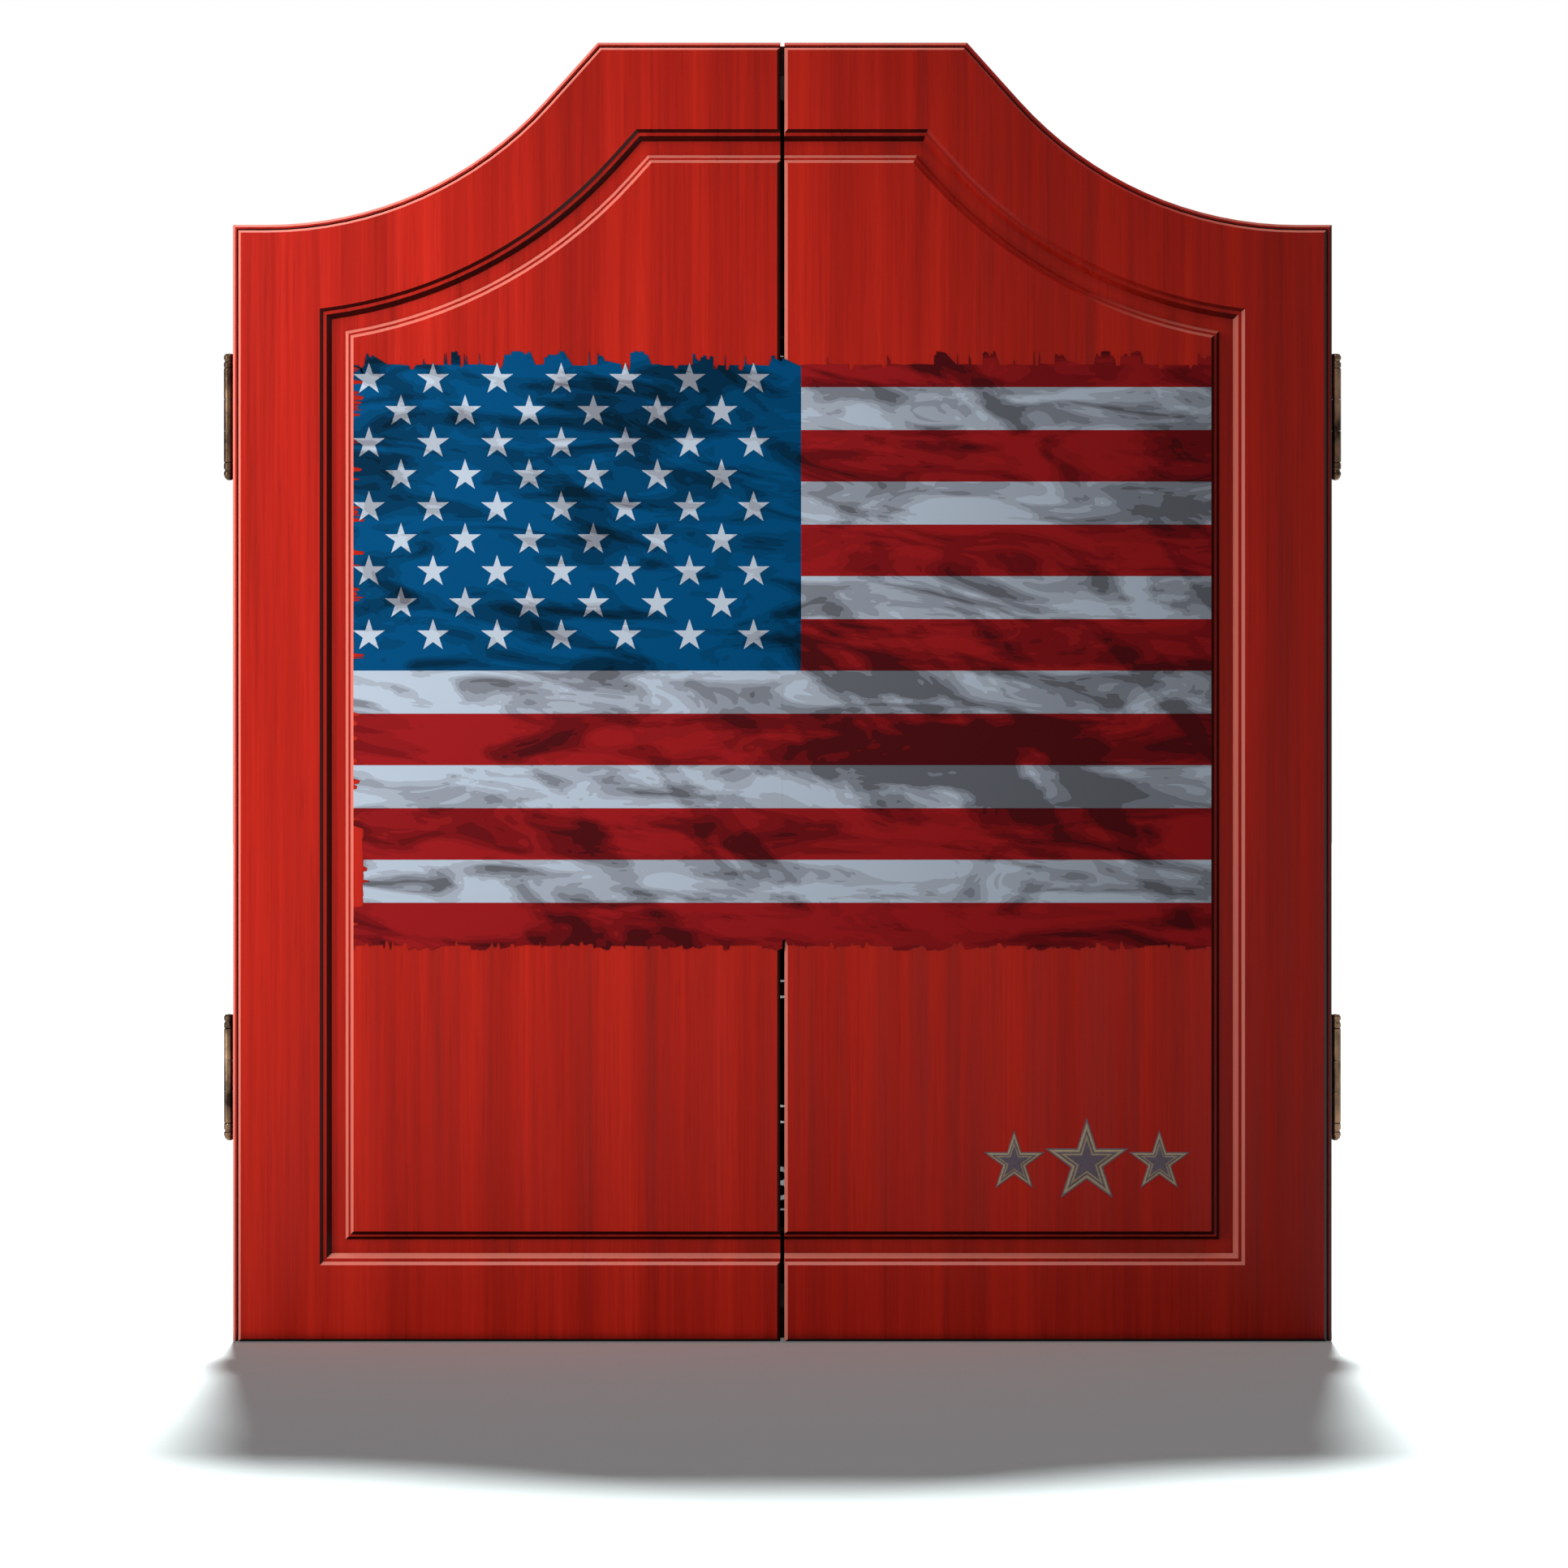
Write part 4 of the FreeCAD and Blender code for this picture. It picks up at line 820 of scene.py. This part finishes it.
def floor():
    """A pale floor level with the underside. It reads white to the eye but returns less light."""
    bpy.ops.mesh.primitive_plane_add(size=40, location=(0, 0, FLOOR_Z))
    item = bpy.context.object
    item.name = "floor"
    paint = Paint("pale_floor")
    eye = seen(paint)
    colour = paint.mix(eye, (0.07, 0.07, 0.07, 1), (0.72, 0.8, 0.8, 1))
    diffuse = paint.add("BsdfDiffuse", {"Color": colour}).outputs[0]
    glow = paint.add("Emission", {"Strength": paint.math("MULTIPLY", eye, 0.115)}).outputs[0]
    shader = paint.add("AddShader", {0: diffuse, 1: glow}).outputs[0]
    paint.add("OutputMaterial", {"Surface": shader})
    item.data.materials.append(paint.material)
    return item


def world():
    """Soft even light all round, with a white background."""
    item = bpy.data.worlds.new("studio")
    bpy.context.scene.world = item
    item.use_nodes = True
    tree = item.node_tree
    tree.nodes.clear()
    path = tree.nodes.new("ShaderNodeLightPath")
    first = tree.nodes.new("ShaderNodeMath")
    second = tree.nodes.new("ShaderNodeMath")
    second.use_clamp = True
    tree.links.new(path.outputs["Is Camera Ray"], first.inputs[0])
    tree.links.new(path.outputs["Is Glossy Ray"], first.inputs[1])
    tree.links.new(first.outputs[0], second.inputs[0])
    tree.links.new(path.outputs["Is Transmission Ray"], second.inputs[1])
    strength = tree.nodes.new("ShaderNodeMapRange")
    strength.inputs["To Min"].default_value = 0.09
    strength.inputs["To Max"].default_value = 1.0
    tree.links.new(second.outputs[0], strength.inputs["Value"])
    background = tree.nodes.new("ShaderNodeBackground")
    background.inputs["Color"].default_value = (1, 1, 1, 1)
    tree.links.new(strength.outputs[0], background.inputs["Strength"])
    output = tree.nodes.new("ShaderNodeOutputWorld")
    tree.links.new(background.outputs[0], output.inputs["Surface"])


def aimed(item, place, target):
    item.location = place
    item.rotation_euler = (Vector(target) - Vector(place)).to_track_quat("-Z", "Y").to_euler()
    bpy.context.scene.collection.objects.link(item)
    return item


def soft_box(name, place, target, width, height, power, receivers):
    data = bpy.data.lights.new(name, "AREA")
    data.shape = "RECTANGLE"
    data.size, data.size_y = width, height
    data.energy = power
    aimed(bpy.data.objects.new(name, data), place, target).light_linking.receiver_collection = receivers


def lights(ground):
    """A spot from the upper left, tall soft boxes beside and above for the mouldings, and a lamp behind that
    lights only the floor, so that the cabinet's shadow falls forwards on it."""
    not_floor = bpy.data.collections.new("all_but_floor")
    not_floor.objects.link(ground)
    not_floor.collection_objects[0].light_linking.link_state = "EXCLUDE"
    only_floor = bpy.data.collections.new("only_floor")
    only_floor.objects.link(ground)
    spot = bpy.data.lights.new("key", "SPOT")
    spot.energy = 80
    spot.spot_size = math.radians(41)
    spot.spot_blend = 1.0
    spot.shadow_soft_size = 0.08
    key = aimed(bpy.data.objects.new("key", spot), (-0.93, FRONT_Y - 1.08, 0.69), (-0.33, FRONT_Y, 0.15))
    key.light_linking.receiver_collection = not_floor
    soft_box("left_box", (-1.4, -0.7, 0.1), (0, -0.08, 0), 0.16, 1.5, 15, not_floor)
    soft_box("top_box", (-0.2, -0.25, 1.5), (0, -0.08, 0), 1.3, 0.6, 12, not_floor)
    sun = bpy.data.lights.new("floor_lamp", "SUN")
    sun.energy = 12
    sun.angle = math.radians(11)
    lamp = bpy.data.objects.new("floor_lamp", sun)
    lamp.rotation_euler = (math.radians(-41), 0, 0)
    bpy.context.scene.collection.objects.link(lamp)
    lamp.light_linking.receiver_collection = only_floor


camera()
dress_frame()
flag()
badge()
board_face()
number_wires()
darts()
ground = floor()
world()
lights(ground)
bpy.context.scene.view_settings.view_transform = "Standard"
